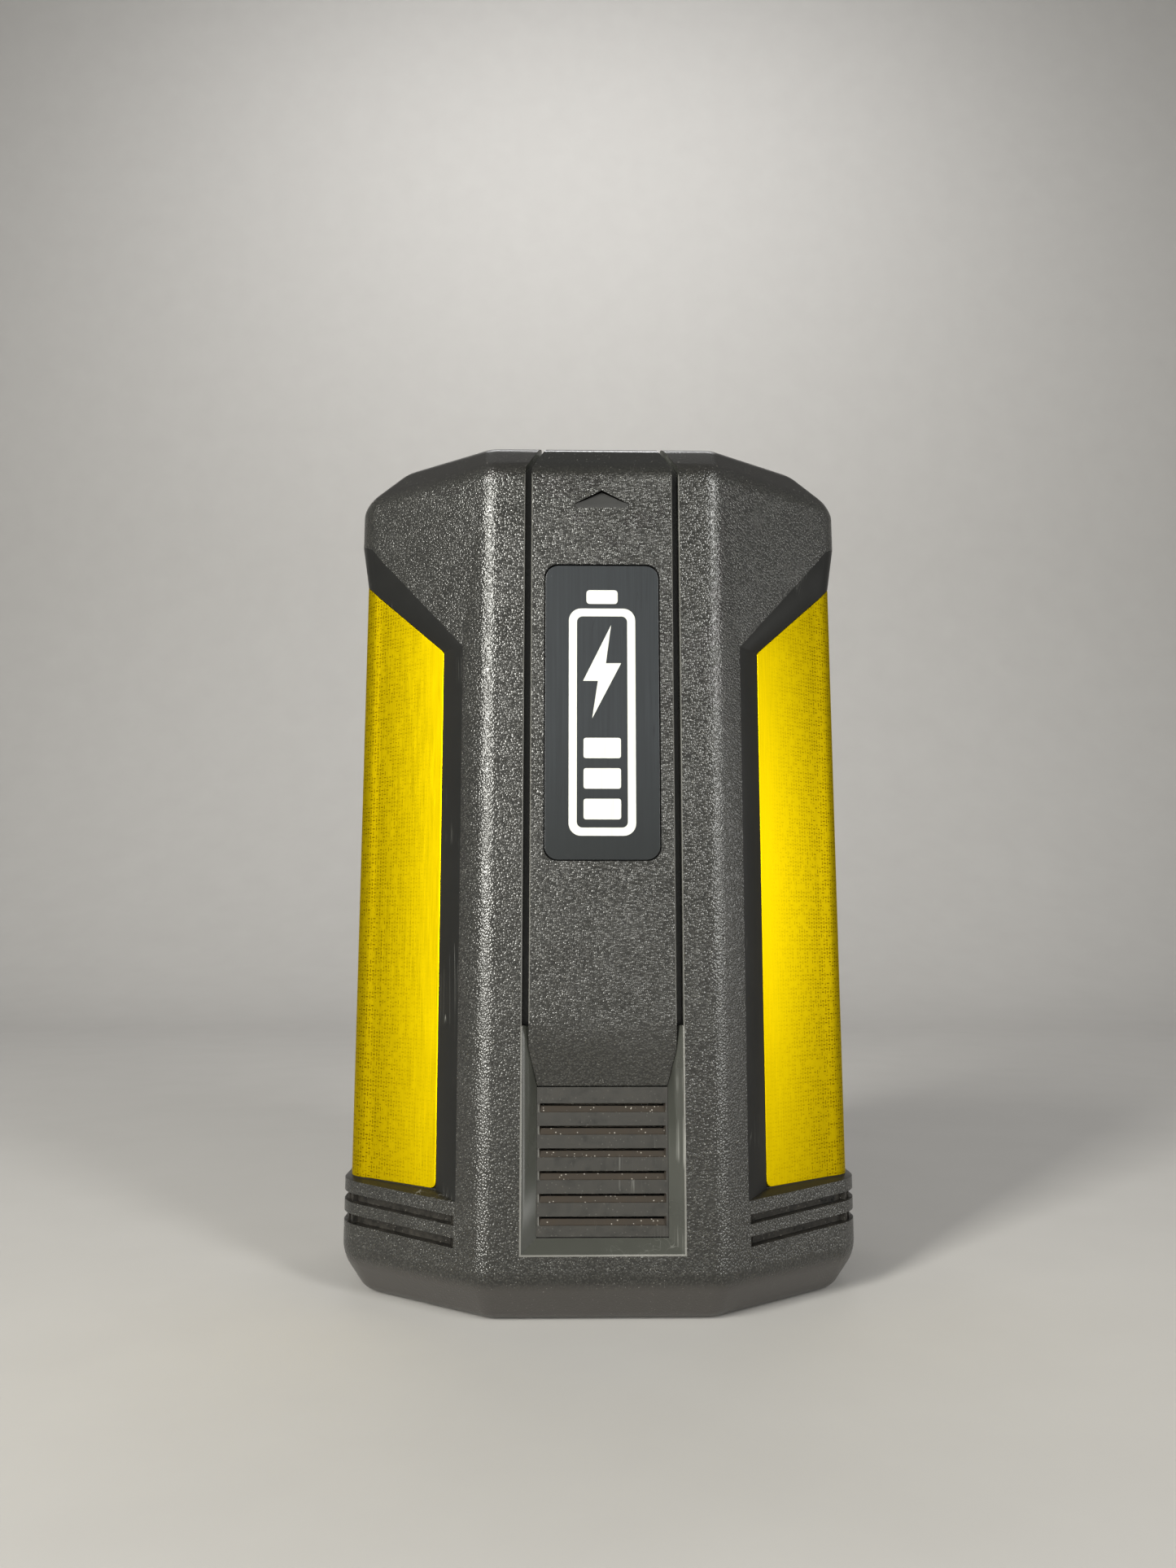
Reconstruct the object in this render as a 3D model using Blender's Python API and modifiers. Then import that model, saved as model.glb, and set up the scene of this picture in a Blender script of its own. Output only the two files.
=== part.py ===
"""Slide-in lithium battery pack for a jump starter: faceted case, slide rail, cells and charge gauge.

Sizes are in millimetres and are turned into metres in place(). The case stands on its flat bottom:
x runs to the right, depth runs back from the flat front face, z runs up.
"""
import bmesh
import bpy
import math
from mathutils import Matrix, Vector

MM = 0.001

# case
HALF_WIDTH = 56.0
DRAFT = 0.9
DEPTH = 88.0
HEIGHT = 183.0
CASE_BACK = 82.0
PARTING = 46.0
GAP = 0.3
HALF_FLAT = 24.1
FLANK_SLOPE = 0.717
RIDGE_RADIUS = 6.0
CORNER_RADIUS = 9.0
REAR_RADIUS = 12.0
EDGE_ROUNDING = 2.4
BOTTOM_CHAMFER = 8.3
TOP_CHAMFER = 7.0
WALL = 3.0
FRONT_WALL = 5.5
CAVITY_RADII = (3.0, 4.0, 6.0)

# centre strip, its grooves and the ramp at its lower end
GROOVE_OUTER = 16.4
STRIP_HALF = 15.0
STRIP_THICK = 4.0
GROOVE_TURN = 176.4
TOP_HALF_OUTER = 13.1
TOP_HALF_STRIP = 11.7
STRIP_TOP_REACH = 12.0
STRIP_TOP_LIP = 2.0
RAMP_TOP = 58.5
RAMP_LOW = 46.0
RAMP_DEPTH = 3.0
CHANNEL_LOW = 13.9
CHANNEL_FLOOR_LOW = 16.4
CHANNEL_FLOOR_HALF = 13.4

# chevron and label
CHEVRON_HALF = 6.0
CHEVRON_TIP = 168.1
CHEVRON_APEX = 171.2
CHEVRON_DEPTH = 0.9
LABEL_HALF = 12.1
LABEL_LOW = 91.9
LABEL_HIGH = 154.7
LABEL_RADIUS = 2.8
LABEL_RECESS = 0.8
LABEL_THICK = 0.5

# louvre
LEDGE = 0.06
LOUVRE_THICK = 2.0
SLOT_COUNT = 6
SLOT_FIRST = 18.9
SLOT_PITCH = 4.43
SLOT_HEIGHT = 1.75
SLOT_HALF = 12.8
SHELF_NEAR = 0.35
SHELF_FAR = 0.9
AIR_GAP = 0.34
AIR_HALF = 12.5
OPENING_HALF = 12.7

# flank pockets, panels and slots, as (distance along the flank, low z, high z)
POCKET_DEPTH = 2.3
POCKET_SIDE_DEPTH = 1.4
POCKET_OVERSHOOT = 1.2
PANEL_THICK = 1.15
SEAT_DEPTH = 1.3
FACET_END = 33.4
BLEND = 6.0
POCKET_EDGE = ((6.8, 23.3, 137.9), (20.0, 23.6, 150.4), (33.4, 24.0, 163.1), (36.2, 24.1, 164.8),
               (39.1, 24.2, 166.0), (41.95, 24.2, 166.6), (58.5, 24.2, 166.6))
PANEL_EDGE = ((14.1, 24.5, 138.0), (24.0, 24.5, 145.6), (33.4, 24.5, 153.0), (36.2, 24.5, 154.9),
              (39.1, 24.5, 156.5), (41.95, 24.5, 157.8), (55.0, 24.5, 157.8))
PANEL_CLEAR = 0.15
FLANK_SLOTS = ((18.7, 20.6), (14.3, 16.3))
SLOT_START = 7.2
SLOT_END = 55.0
SLOT_RISE = 1.0
SLOT_DEPTH = 2.0
RIB_DEPTH = 0.8
RIB_ZONE = 37.0
RIB_PITCH = 2.6
RIB_WIDTH = 1.0
RIB_STEP = 0.1

# slide rail and terminals
RAIL_HALF = 32.0
RAIL_LOW = 38.0
RAIL_HIGH = 165.0
RAIL_NOTCH = 2.6
RAIL_NOTCH_DEPTH = (82.6, 85.2)
WINDOW_HALF = 22.0
WINDOW_LOW = 126.0
CONTACT_X = (("contact_positive", -15.0), ("contact_data", 0.0), ("contact_negative", 15.0))
CONTACT_SLOT = 2.6
CONTACT_THICK = 0.9

# charge gauge
WINDOW_HALF_WIDTH = 13.0
WINDOW_Z = 23.4
WINDOW_HALF_HEIGHT = 2.3
BUTTON_Z = 15.0
BUTTON_RADIUS = 4.0
BUTTON_HOLE = 4.25
BUTTON_FLANGE = 4.9
BUTTON_PROUD = 0.7

# cells
CELL_RADIUS = 10.5
CELL_HALF = 35.0
CELL_PITCH = 21.6
CELL_SIDES = 12
COLUMN_DEPTHS = (27.3, 46.2, 65.1)
FIRST_ROW = 35.0
HOLDER_RANGE = (22.0, 33.4)
STRIP_WIDTH = 8.0
STRIP_END = 5.0
LINK_THICK = 0.3

# screws
BOSS_X = 44.0
BOSS_Z = (38.0, 146.0)
BOSS_RADIUS = 4.5

# cell groups in series order, two cells each, as (column, row)
GROUPS = (((0, 0), (0, 1)), ((0, 2), (0, 3)), ((0, 4), (0, 5)), ((0, 6), (1, 5)), ((1, 4), (1, 3)),
          ((1, 2), (1, 1)), ((1, 0), (2, 0)), ((2, 1), (2, 2)), ((2, 3), (2, 4)), ((2, 5), (2, 6)))


def place(x, depth, z):
    return Vector((x, depth - DEPTH / 2, z)) * MM


def clear_scene():
    for item in list(bpy.data.objects):
        bpy.data.objects.remove(item, do_unlink=True)


def collection(name):
    made = bpy.data.collections.new(name)
    bpy.context.scene.collection.children.link(made)
    return made


def material(name, colour, roughness, metallic=0.0):
    made = bpy.data.materials.new(name)
    made.use_nodes = True
    shader = made.node_tree.nodes["Principled BSDF"]
    shader.inputs["Base Color"].default_value = (*colour, 1.0)
    shader.inputs["Roughness"].default_value = roughness
    shader.inputs["Metallic"].default_value = metallic
    made.diffuse_color = (*colour, 1.0)
    return made


clear_scene()
PARTS = collection("battery_pack")
CUTTERS = collection("cutters")


def add_object(name, mesh, look=None):
    made = bpy.data.objects.new(name, mesh)
    if look is None:
        CUTTERS.objects.link(made)
        made.hide_render = True
        made.display_type = "WIRE"
    else:
        PARTS.objects.link(made)
        mesh.materials.append(look)
    return made


def solid(name, points, faces, look=None):
    mesh = bpy.data.meshes.new(name)
    mesh.from_pydata(points, [], faces)
    work = bmesh.new()
    work.from_mesh(mesh)
    bmesh.ops.recalc_face_normals(work, faces=work.faces)
    work.to_mesh(mesh)
    work.free()
    return add_object(name, mesh, look)


def loft(name, rings, look=None):
    """Closed skin through rings that all have the same number of points."""
    count = len(rings[0])
    points = [point for ring in rings for point in ring]
    faces = [tuple(range(count)), tuple(range(len(points) - count, len(points)))]
    for level in range(len(rings) - 1):
        for i in range(count):
            j = (i + 1) % count
            low = level * count
            high = low + count
            faces.append((low + i, low + j, high + j, high + i))
    return solid(name, points, faces, look)


def block(name, x_range, depth_range, z_range, look=None):
    rings = []
    for z in z_range:
        rings.append([place(x, depth, z) for x, depth in (
            (x_range[0], depth_range[0]), (x_range[1], depth_range[0]),
            (x_range[1], depth_range[1]), (x_range[0], depth_range[1]))])
    return loft(name, rings, look)


def plate(name, outline, depth_range, look=None):
    """An outline in x and z, given thickness in depth."""
    rings = [[place(x, depth, z) for x, z in outline] for depth in depth_range]
    return loft(name, rings, look)


def profile_bar(name, outline, x_range, look=None):
    """An outline in depth and z, drawn out along x."""
    rings = [[place(x, depth, z) for depth, z in outline] for x in x_range]
    return loft(name, rings, look)


def rod(name, axis, centre, radius, reach, sides=16, look=None):
    """Cylinder along x or depth; reach is its start and end along that axis."""
    mesh = bpy.data.meshes.new(name)
    work = bmesh.new()
    length = (reach[1] - reach[0]) * MM
    turn = Matrix.Rotation(math.radians(90), 4, "Y" if axis == "x" else "X")
    bmesh.ops.create_cone(work, cap_ends=True, segments=sides, radius1=radius * MM,
                          radius2=radius * MM, depth=length)
    middle = (reach[0] + reach[1]) / 2
    target = place(middle, *centre) if axis == "x" else place(centre[0], middle, centre[1])
    bmesh.ops.transform(work, matrix=Matrix.Translation(target) @ turn, verts=work.verts)
    bmesh.ops.recalc_face_normals(work, faces=work.faces)
    work.to_mesh(mesh)
    work.free()
    return add_object(name, mesh, look)


def combine(target, other, operation="DIFFERENCE"):
    step = target.modifiers.new(operation.lower() + "_" + other.name, "BOOLEAN")
    step.operation = operation
    step.solver = "EXACT"
    step.object = other


def round_edges(target, width, steps=2, angle=30.0):
    step = target.modifiers.new("rounding", "BEVEL")
    step.width = width * MM
    step.segments = steps
    step.limit_method = "ANGLE"
    step.angle_limit = math.radians(angle)


def mirror_right_half(target):
    """Keep the right half and mirror it, so both flanks match exactly."""
    step = target.modifiers.new("both_flanks", "MIRROR")
    step.use_axis = (True, False, False)
    step.use_bisect_axis = (True, False, False)
    step.use_clip = True
    step.merge_threshold = 0.00001


def rounded_outline(corners, radii, steps):
    """Round the corners of a closed outline; each corner gives steps + 1 points."""
    result = []
    for i, corner in enumerate(corners):
        here = Vector(corner)
        before = (Vector(corners[i - 1]) - here).normalized()
        after = (Vector(corners[(i + 1) % len(corners)]) - here).normalized()
        half_angle = before.angle(after) / 2
        reach = radii[i] / math.tan(half_angle)
        centre = here + (before + after).normalized() * (radii[i] / math.sin(half_angle))
        first = here + before * reach - centre
        last = here + after * reach - centre
        sweep = first.angle_signed(last)
        for step in range(steps[i] + 1):
            turn = Matrix.Rotation(-sweep * step / steps[i], 2)
            result.append(tuple(centre + turn @ first))
    return result


def case_ring(z, front=0.0, flank=0.0, side=0.0, back=0.0, radii=None):
    """Plan outline of the case at height z, each face moved inward by its own inset."""
    stretch = math.hypot(1.0, FLANK_SLOPE)
    side_x = HALF_WIDTH - side
    ridge_x = HALF_FLAT + (front - flank * stretch) / FLANK_SLOPE
    corner_depth = FLANK_SLOPE * (side_x - HALF_FLAT) + flank * stretch
    back_depth = CASE_BACK - back
    right = [(ridge_x, front), (side_x, corner_depth), (side_x, back_depth)]
    corners = right + [(-x, depth) for x, depth in reversed(right)]
    ridge, corner, rear = radii or (RIDGE_RADIUS, CORNER_RADIUS, REAR_RADIUS)
    outline = rounded_outline(corners, (ridge, corner, rear, rear, corner, ridge), (3, 5, 5, 5, 5, 3))
    return [place(x, depth, z) for x, depth in outline]


def case_solid(name, look=None):
    rings = [
        case_ring(0.0, 5.5, 5.2, 5.0, 5.0, (5.0, 7.0, 9.0)),
        case_ring(BOTTOM_CHAMFER),
        case_ring(HEIGHT - TOP_CHAMFER, side=DRAFT),
        case_ring(HEIGHT, 5.0, 4.0, 11.0 + DRAFT, 5.0, (5.0, 7.0, 8.0))]
    made = loft(name, rings, look)
    round_edges(made, EDGE_ROUNDING, 2, 24.0)
    return made


def cavity(name, front, flank, side, back):
    rings = [
        case_ring(3.2, front + 3.2, flank + 3.2, side + 3.2, back + 3.2, CAVITY_RADII),
        case_ring(9.5, front, flank, side, back, CAVITY_RADII),
        case_ring(173.0, front, flank, side + DRAFT, back, CAVITY_RADII),
        case_ring(178.8, front + 3.2, flank + 3.2, side + DRAFT + 6.0, back + 3.2, CAVITY_RADII)]
    return loft(name, rings)


def side_inset(z):
    """How far each side has leaned inward at height z."""
    return DRAFT * (z - BOTTOM_CHAMFER) / (HEIGHT - TOP_CHAMFER - BOTTOM_CHAMFER)


def flank_point(along, offset, z):
    """Plan position on the right flank at height z: the facet, the corner arc, then the straight side."""
    angle = math.atan(FLANK_SLOPE)
    turn = math.pi / 2 - angle
    tangent = CORNER_RADIUS * math.tan(turn / 2)
    straight = (HALF_WIDTH - side_inset(z) - HALF_FLAT) * math.hypot(1.0, FLANK_SLOPE) - tangent
    swept = CORNER_RADIUS * turn
    start = Vector((HALF_FLAT, 0.0)) + straight * Vector((math.cos(angle), math.sin(angle)))
    centre = start + CORNER_RADIUS * Vector((-math.sin(angle), math.cos(angle)))
    if along <= straight:
        heading = Vector((math.cos(angle), math.sin(angle)))
        return start + (along - straight) * heading + offset * Vector((-math.sin(angle), math.cos(angle)))
    if along <= straight + swept:
        facing = angle + turn * (along - straight) / swept
        return centre + (CORNER_RADIUS - offset) * Vector((math.sin(facing), -math.cos(facing)))
    end = centre + Vector((CORNER_RADIUS - offset, 0.0))
    return end + Vector((0.0, along - straight - swept))


def flank_solid(name, outer, inner, outer_offset, inner_offset, side=1, look=None):
    """Solid between two edges laid on the flank at two offsets; side is 1 for right, -1 for left.

    An offset is one number, or a list with one number for each station.
    """
    if not isinstance(outer_offset, list):
        outer_offset = [outer_offset] * len(outer)
    if not isinstance(inner_offset, list):
        inner_offset = [inner_offset] * len(inner)
    rings = []
    for outer_edge, inner_edge, near, far in zip(outer, inner, outer_offset, inner_offset):
        outer_s, outer_low, outer_high = outer_edge
        inner_s, inner_low, inner_high = inner_edge
        ring = []
        for s, offset, z in ((outer_s, near, outer_low), (outer_s, near, outer_high),
                             (inner_s, far, inner_high), (inner_s, far, inner_low)):
            plan = flank_point(s, offset, z)
            ring.append(place(side * plan.x, plan.y, z))
        rings.append(ring)
    return loft(name, rings, look)


def panel_offset(s):
    """Depth of the panel's face below the case: deeper on the facet than on the side."""
    share = min(1.0, max(0.0, (s - FACET_END) / BLEND))
    return POCKET_DEPTH + (POCKET_SIDE_DEPTH - POCKET_DEPTH) * share


def pocket_cutters():
    """The sloped pocket, carried past the surface, and the straight seat under it."""
    floors = [panel_offset(s) for s, _, _ in PANEL_EDGE]
    flared = []
    for outer, inner, floor in zip(POCKET_EDGE, PANEL_EDGE, floors):
        spread = 1.0 + POCKET_OVERSHOOT / floor
        flared.append(tuple(b + (a - b) * spread for a, b in zip(outer, inner)))
    pocket = flank_solid("flank_pocket", flared, PANEL_EDGE, -POCKET_OVERSHOOT, floors)
    seat = flank_solid("flank_seat", PANEL_EDGE, PANEL_EDGE, [floor - 0.3 for floor in floors],
                       [floor + SEAT_DEPTH for floor in floors])
    return pocket, seat


def panel_edge():
    """The seat edge drawn in by the fitting clearance."""
    edge = [(s, low + PANEL_CLEAR, high - PANEL_CLEAR) for s, low, high in PANEL_EDGE]
    edge[0] = (edge[0][0] + PANEL_CLEAR, edge[0][1], edge[0][2])
    edge[-1] = (edge[-1][0] - PANEL_CLEAR, edge[-1][1], edge[-1][2])
    return edge


def slot_depths():
    """Stations along a flank slot with their depths: deep on the facet, then deep between shallow ribs."""
    stations = [(s, SLOT_DEPTH) for s in (SLOT_START, 20.0, 33.4, 35.2)]
    start = RIB_ZONE
    while start + RIB_PITCH < SLOT_END:
        stations.append((start - RIB_STEP, SLOT_DEPTH))
        stations.append((start, RIB_DEPTH))
        stations.append((start + RIB_WIDTH, RIB_DEPTH))
        stations.append((start + RIB_WIDTH + RIB_STEP, SLOT_DEPTH))
        start += RIB_PITCH
    stations.append((SLOT_END, SLOT_DEPTH))
    return stations


def cut_flank_slots(shell):
    """Two shallow slots round each flank, rising slightly, with upright ribs inside them on the side."""
    for number, (low, high) in enumerate(FLANK_SLOTS, 1):
        outer = []
        depths = []
        for s, depth in slot_depths():
            rise = SLOT_RISE * min(1.0, (s - SLOT_START) / 33.0)
            outer.append((s, low + rise, high + rise))
            depths.append(depth)
        combine(shell, flank_solid(f"flank_slot_{number}", outer, outer, -1.0, depths))


def strip_front(half, top_half, low):
    """Front outline of the strip or of its channel: straight, then turning inward over the top."""
    high = HEIGHT + 1.0
    taper = (half - top_half) / (HEIGHT - GROOVE_TURN)
    end_half = half - taper * (high - GROOVE_TURN)
    return [(half, low), (half, GROOVE_TURN), (end_half, high),
            (-end_half, high), (-half, GROOVE_TURN), (-half, low)]


def strip_bar(name, thick, low, reach, lip, half, top_half):
    """The strip's L-shaped section, limited to its front outline."""
    profile = [(-1.0, low), (thick, low), (thick, HEIGHT - lip), (reach, HEIGHT - lip),
               (reach, HEIGHT + 1.0), (-1.0, HEIGHT + 1.0)]
    made = profile_bar(name, profile, (-half - 1.0, half + 1.0))
    outline = plate(name + "_outline", strip_front(half, top_half, low - 1.0), (-2.0, reach + 1.0))
    combine(made, outline, "INTERSECT")
    return made


def flared_channel(name, floor, rise, low, high, inset=0.0):
    """Channel whose side walls close in with depth, and whose lower end may rise with depth."""
    flare = (GROOVE_OUTER - CHANNEL_FLOOR_HALF) / RAMP_DEPTH
    rings = []
    for depth in (-1.0, floor):
        half = GROOVE_OUTER - inset - flare * depth
        end = low + rise * depth
        corners = ((-half, end), (half, end), (half, high), (-half, high))
        rings.append([place(x, depth, z) for x, z in corners])
    return loft(name, rings)


def make_front_shell(look):
    shell = case_solid("front_shell", look)
    combine(shell, block("rear_waste", (-60, 60), (PARTING - GAP / 2, 95), (-5, 190)))
    combine(shell, cavity("front_cavity", FRONT_WALL, FRONT_WALL, FRONT_WALL, WALL))
    for z in BOSS_Z:
        centre = (BOSS_X, z)
        boss = rod(f"front_boss_{z:.0f}", "depth", centre, BOSS_RADIUS, (20.0, PARTING - GAP / 2), 12)
        combine(shell, boss, "UNION")
        combine(shell, rod(f"pilot_{z:.0f}", "depth", centre, 1.8, (32.0, 50.0), 8))
    for cutter in pocket_cutters():
        combine(shell, cutter)
    cut_flank_slots(shell)
    mirror_right_half(shell)
    combine(shell, strip_bar("strip_channel", STRIP_THICK + GAP, RAMP_TOP, STRIP_TOP_REACH + 1.0,
                             STRIP_TOP_LIP + GAP, GROOVE_OUTER, TOP_HALF_OUTER))
    rise = (CHANNEL_FLOOR_LOW - CHANNEL_LOW) / RAMP_DEPTH
    combine(shell, flared_channel("vent_channel", RAMP_DEPTH, rise, CHANNEL_LOW, RAMP_TOP))
    combine(shell, flared_channel("ramp_channel", STRIP_THICK + GAP, 0.0, RAMP_LOW, RAMP_TOP + 0.5, LEDGE))
    seat_half = CHANNEL_FLOOR_HALF - LEDGE
    combine(shell, block("louvre_seat", (-seat_half, seat_half),
                         (RAMP_DEPTH - 0.5, RAMP_DEPTH + LOUVRE_THICK + GAP),
                         (CHANNEL_FLOOR_LOW + LEDGE, RAMP_LOW + 0.5)))
    combine(shell, block("vent_opening", (-OPENING_HALF, OPENING_HALF), (4.0, 9.0), (18.2, 43.6)))
    return shell


def make_rear_shell(look):
    shell = case_solid("rear_shell", look)
    combine(shell, block("front_waste", (-60, 60), (-5, PARTING + GAP / 2), (-5, 190)))
    combine(shell, cavity("rear_cavity", WALL, WALL, WALL, WALL))
    rail = block("slide_rail", (-RAIL_HALF, RAIL_HALF), (CASE_BACK - 1.5, DEPTH), (RAIL_LOW, RAIL_HIGH))
    round_edges(rail, 1.2, 2, 40.0)
    combine(shell, rail, "UNION")
    combine(shell, block("rail_notch", (RAIL_HALF - RAIL_NOTCH, RAIL_HALF + 2.0), RAIL_NOTCH_DEPTH,
                         (RAIL_LOW + 14.0, RAIL_HIGH + 2.0)))
    for z in BOSS_Z:
        centre = (BOSS_X, z)
        combine(shell, rod(f"rear_boss_{z:.0f}", "depth", centre, BOSS_RADIUS,
                           (PARTING + GAP / 2, CASE_BACK - 1.0), 12), "UNION")
        combine(shell, rod(f"clearance_{z:.0f}", "depth", centre, 1.9, (40.0, 62.0), 8))
        combine(shell, rod(f"head_bore_{z:.0f}", "depth", centre, 3.5, (60.0, 95.0), 12))
    mirror_right_half(shell)
    combine(shell, block("terminal_window", (-WINDOW_HALF, WINDOW_HALF), (70, 95),
                         (WINDOW_LOW, RAIL_HIGH - 1.6)))
    combine(shell, block("terminal_entry", (-WINDOW_HALF + 1.0, WINDOW_HALF - 1.0), (CASE_BACK + 0.5, 95),
                         (RAIL_HIGH - 5.0, RAIL_HIGH + 2.0)))
    combine(shell, block("gauge_opening", (-WINDOW_HALF_WIDTH, WINDOW_HALF_WIDTH), (75, 90),
                         (WINDOW_Z - WINDOW_HALF_HEIGHT, WINDOW_Z + WINDOW_HALF_HEIGHT)))
    combine(shell, rod("button_opening", "depth", (0.0, BUTTON_Z), BUTTON_HOLE, (75, 90), 20))
    return shell


def make_strip(look):
    strip = strip_bar("centre_strip", STRIP_THICK, RAMP_LOW + GAP, STRIP_TOP_REACH, STRIP_TOP_LIP,
                      STRIP_HALF, TOP_HALF_STRIP)
    CUTTERS.objects.unlink(strip)
    PARTS.objects.link(strip)
    strip.hide_render = False
    strip.display_type = "TEXTURED"
    strip.data.materials.append(look)
    combine(strip, case_solid("case_limit"), "INTERSECT")
    slope = RAMP_DEPTH / (RAMP_TOP - RAMP_LOW)
    below = RAMP_LOW - 1.2 / slope
    outline = [(-3.0, RAMP_TOP + 3.0 / slope), (RAMP_DEPTH + 1.2, below), (-3.0, below)]
    combine(strip, profile_bar("ramp_waste", outline, (-20, 20)))
    flare = (GROOVE_OUTER - CHANNEL_FLOOR_HALF) / RAMP_DEPTH
    for side, word in ((1, "right"), (-1, "left")):
        edge = [(side * (GROOVE_OUTER - GAP - flare * depth), depth) for depth in (0.0, 5.0)]
        outline = [edge[0], edge[1], (side * 20.0, 5.0), (side * 20.0, 0.0)]
        rings = [[place(x, depth, z) for x, depth in outline] for z in (RAMP_LOW - 2.0, RAMP_TOP + GAP)]
        combine(strip, loft(word + "_ramp_edge", rings))
    cut_chevron(strip)
    outline = rounded_label(0.0)
    combine(strip, plate("label_recess", outline, (-1.0, LABEL_RECESS)))
    return strip


def cut_chevron(strip):
    """A triangular recess, deepest under its upper edges and flush along its base."""
    base = CHEVRON_TIP - 0.8
    slope = CHEVRON_DEPTH / (CHEVRON_APEX - base)
    outline = [(-CHEVRON_HALF, CHEVRON_TIP), (-CHEVRON_HALF + 0.9, base - 0.1),
               (CHEVRON_HALF - 0.9, base - 0.1), (CHEVRON_HALF, CHEVRON_TIP), (0.0, CHEVRON_APEX)]
    near = [place(x, -1.0, z) for x, z in outline]
    far = [place(x, slope * (z - base), z) for x, z in outline]
    combine(strip, loft("chevron_recess", [near, far]))


def rounded_label(inset):
    half = LABEL_HALF - inset
    low = LABEL_LOW + inset
    high = LABEL_HIGH - inset
    corners = [(half, low), (half, high), (-half, high), (-half, low)]
    return rounded_outline(corners, (LABEL_RADIUS,) * 4, (4,) * 4)


def make_louvre(look):
    """Bars over sloping shelves, each shelf with a narrow air gap under the bar above."""
    louvre = block("vent_louvre", (-CHANNEL_FLOOR_HALF + GAP, CHANNEL_FLOOR_HALF - GAP),
                   (RAMP_DEPTH, RAMP_DEPTH + LOUVRE_THICK), (CHANNEL_FLOOR_LOW + GAP, RAMP_LOW), look)
    for i in range(SLOT_COUNT):
        low = SLOT_FIRST + i * SLOT_PITCH
        high = low + SLOT_HEIGHT
        shelf = [(0.0, low), (0.0, high), (RAMP_DEPTH + SHELF_FAR, high),
                 (RAMP_DEPTH + SHELF_FAR, high - 0.3), (RAMP_DEPTH + SHELF_NEAR, low)]
        combine(louvre, profile_bar(f"louvre_shelf_{i}", shelf, (-SLOT_HALF, SLOT_HALF)))
        combine(louvre, block(f"louvre_gap_{i}", (-AIR_HALF, AIR_HALF), (RAMP_DEPTH, 10.0),
                              (high - AIR_GAP, high)))
    return louvre


def make_terminals(look, metal):
    holder = block("terminal_block", (-WINDOW_HALF + GAP, WINDOW_HALF - GAP), (77.0, 87.2),
                   (WINDOW_LOW + GAP, RAIL_HIGH - 1.6 - GAP), look)
    for name, x in CONTACT_X:
        combine(holder, block(name + "_slot", (x - CONTACT_SLOT / 2, x + CONTACT_SLOT / 2),
                              (78.5, 90.0), (WINDOW_LOW + 6.0, RAIL_HIGH + 2.0)))
        block(name, (x - CONTACT_THICK / 2, x + CONTACT_THICK / 2), (78.8, 86.2),
              (WINDOW_LOW + 6.3, WINDOW_LOW + 26.0), metal)


def set_origin(item, point):
    """Move the item's origin to a point without moving its shape."""
    item.data.transform(Matrix.Translation(-point))
    item.location = point


def make_gauge(looks):
    half = WINDOW_HALF_WIDTH - GAP
    tall = WINDOW_HALF_HEIGHT - GAP
    window = block("gauge_window", (-half, half), (78.0, CASE_BACK - 0.2), (WINDOW_Z - tall, WINDOW_Z + tall),
                   looks["window"])
    flange = block("window_flange", (-half - 2.0, half + 2.0), (77.6, 78.7), (WINDOW_Z - 3.1, WINDOW_Z + 3.1))
    combine(window, flange, "UNION")
    block("gauge_board", (-25.0, 25.0), (71.0, 72.6), (8.0, 23.6), looks["board"])
    switch = block("gauge_switch", (-3.0, 3.0), (72.9, 76.2), (BUTTON_Z - 3.0, BUTTON_Z + 3.0),
                   looks["metal"])
    centre = (0.0, BUTTON_Z)
    combine(switch, rod("plunger_bore", "depth", centre, 1.9, (73.5, 80.0), 12))
    plunger = rod("switch_plunger", "depth", centre, 1.5, (74.8, 77.0), 12, looks["holder"])
    button = rod("gauge_button", "depth", centre, BUTTON_RADIUS, (77.8, CASE_BACK + BUTTON_PROUD), 20,
                 looks["button"])
    round_edges(button, 0.4, 2, 40.0)
    combine(button, rod("button_flange", "depth", centre, BUTTON_FLANGE, (77.3, 78.6), 20), "UNION")
    axis_point = place(0.0, CASE_BACK, BUTTON_Z)
    for item in (plunger, button):
        set_origin(item, axis_point)


def cell_centre(column, row):
    start = FIRST_ROW + (CELL_PITCH / 2 if column == 1 else 0.0)
    return COLUMN_DEPTHS[column], start + row * CELL_PITCH


def make_cells(look):
    """Each cell is turned end for end according to its place in the series."""
    number = 0
    for index, group in enumerate(GROUPS):
        heading = 1 if index % 2 == 0 else -1
        for column, row in group:
            number += 1
            centre = cell_centre(column, row)
            body = sorted((-heading * CELL_HALF, heading * (CELL_HALF - 1.0)))
            cap = sorted((heading * CELL_HALF, heading * (CELL_HALF - 1.6)))
            cell = rod(f"cell_{number:02d}", "x", centre, CELL_RADIUS, body, CELL_SIDES, look)
            combine(cell, rod(f"cap_{number:02d}", "x", centre, 4.0, cap, 8), "UNION")


def make_holder(name, side, look):
    reach = sorted((side * HOLDER_RANGE[0], side * HOLDER_RANGE[1]))
    top = FIRST_ROW + 6 * CELL_PITCH + 11.3
    holder = block(name, reach, (16.2, 76.2), (FIRST_ROW - 11.3, top), look)
    for group in GROUPS:
        for column, row in group:
            hole = rod(f"{name}_hole_{column}{row}", "x", cell_centre(column, row), CELL_RADIUS + 0.25,
                       (reach[0] - 1.0, reach[1] + 1.0), CELL_SIDES)
            combine(holder, hole)
    return holder


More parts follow.
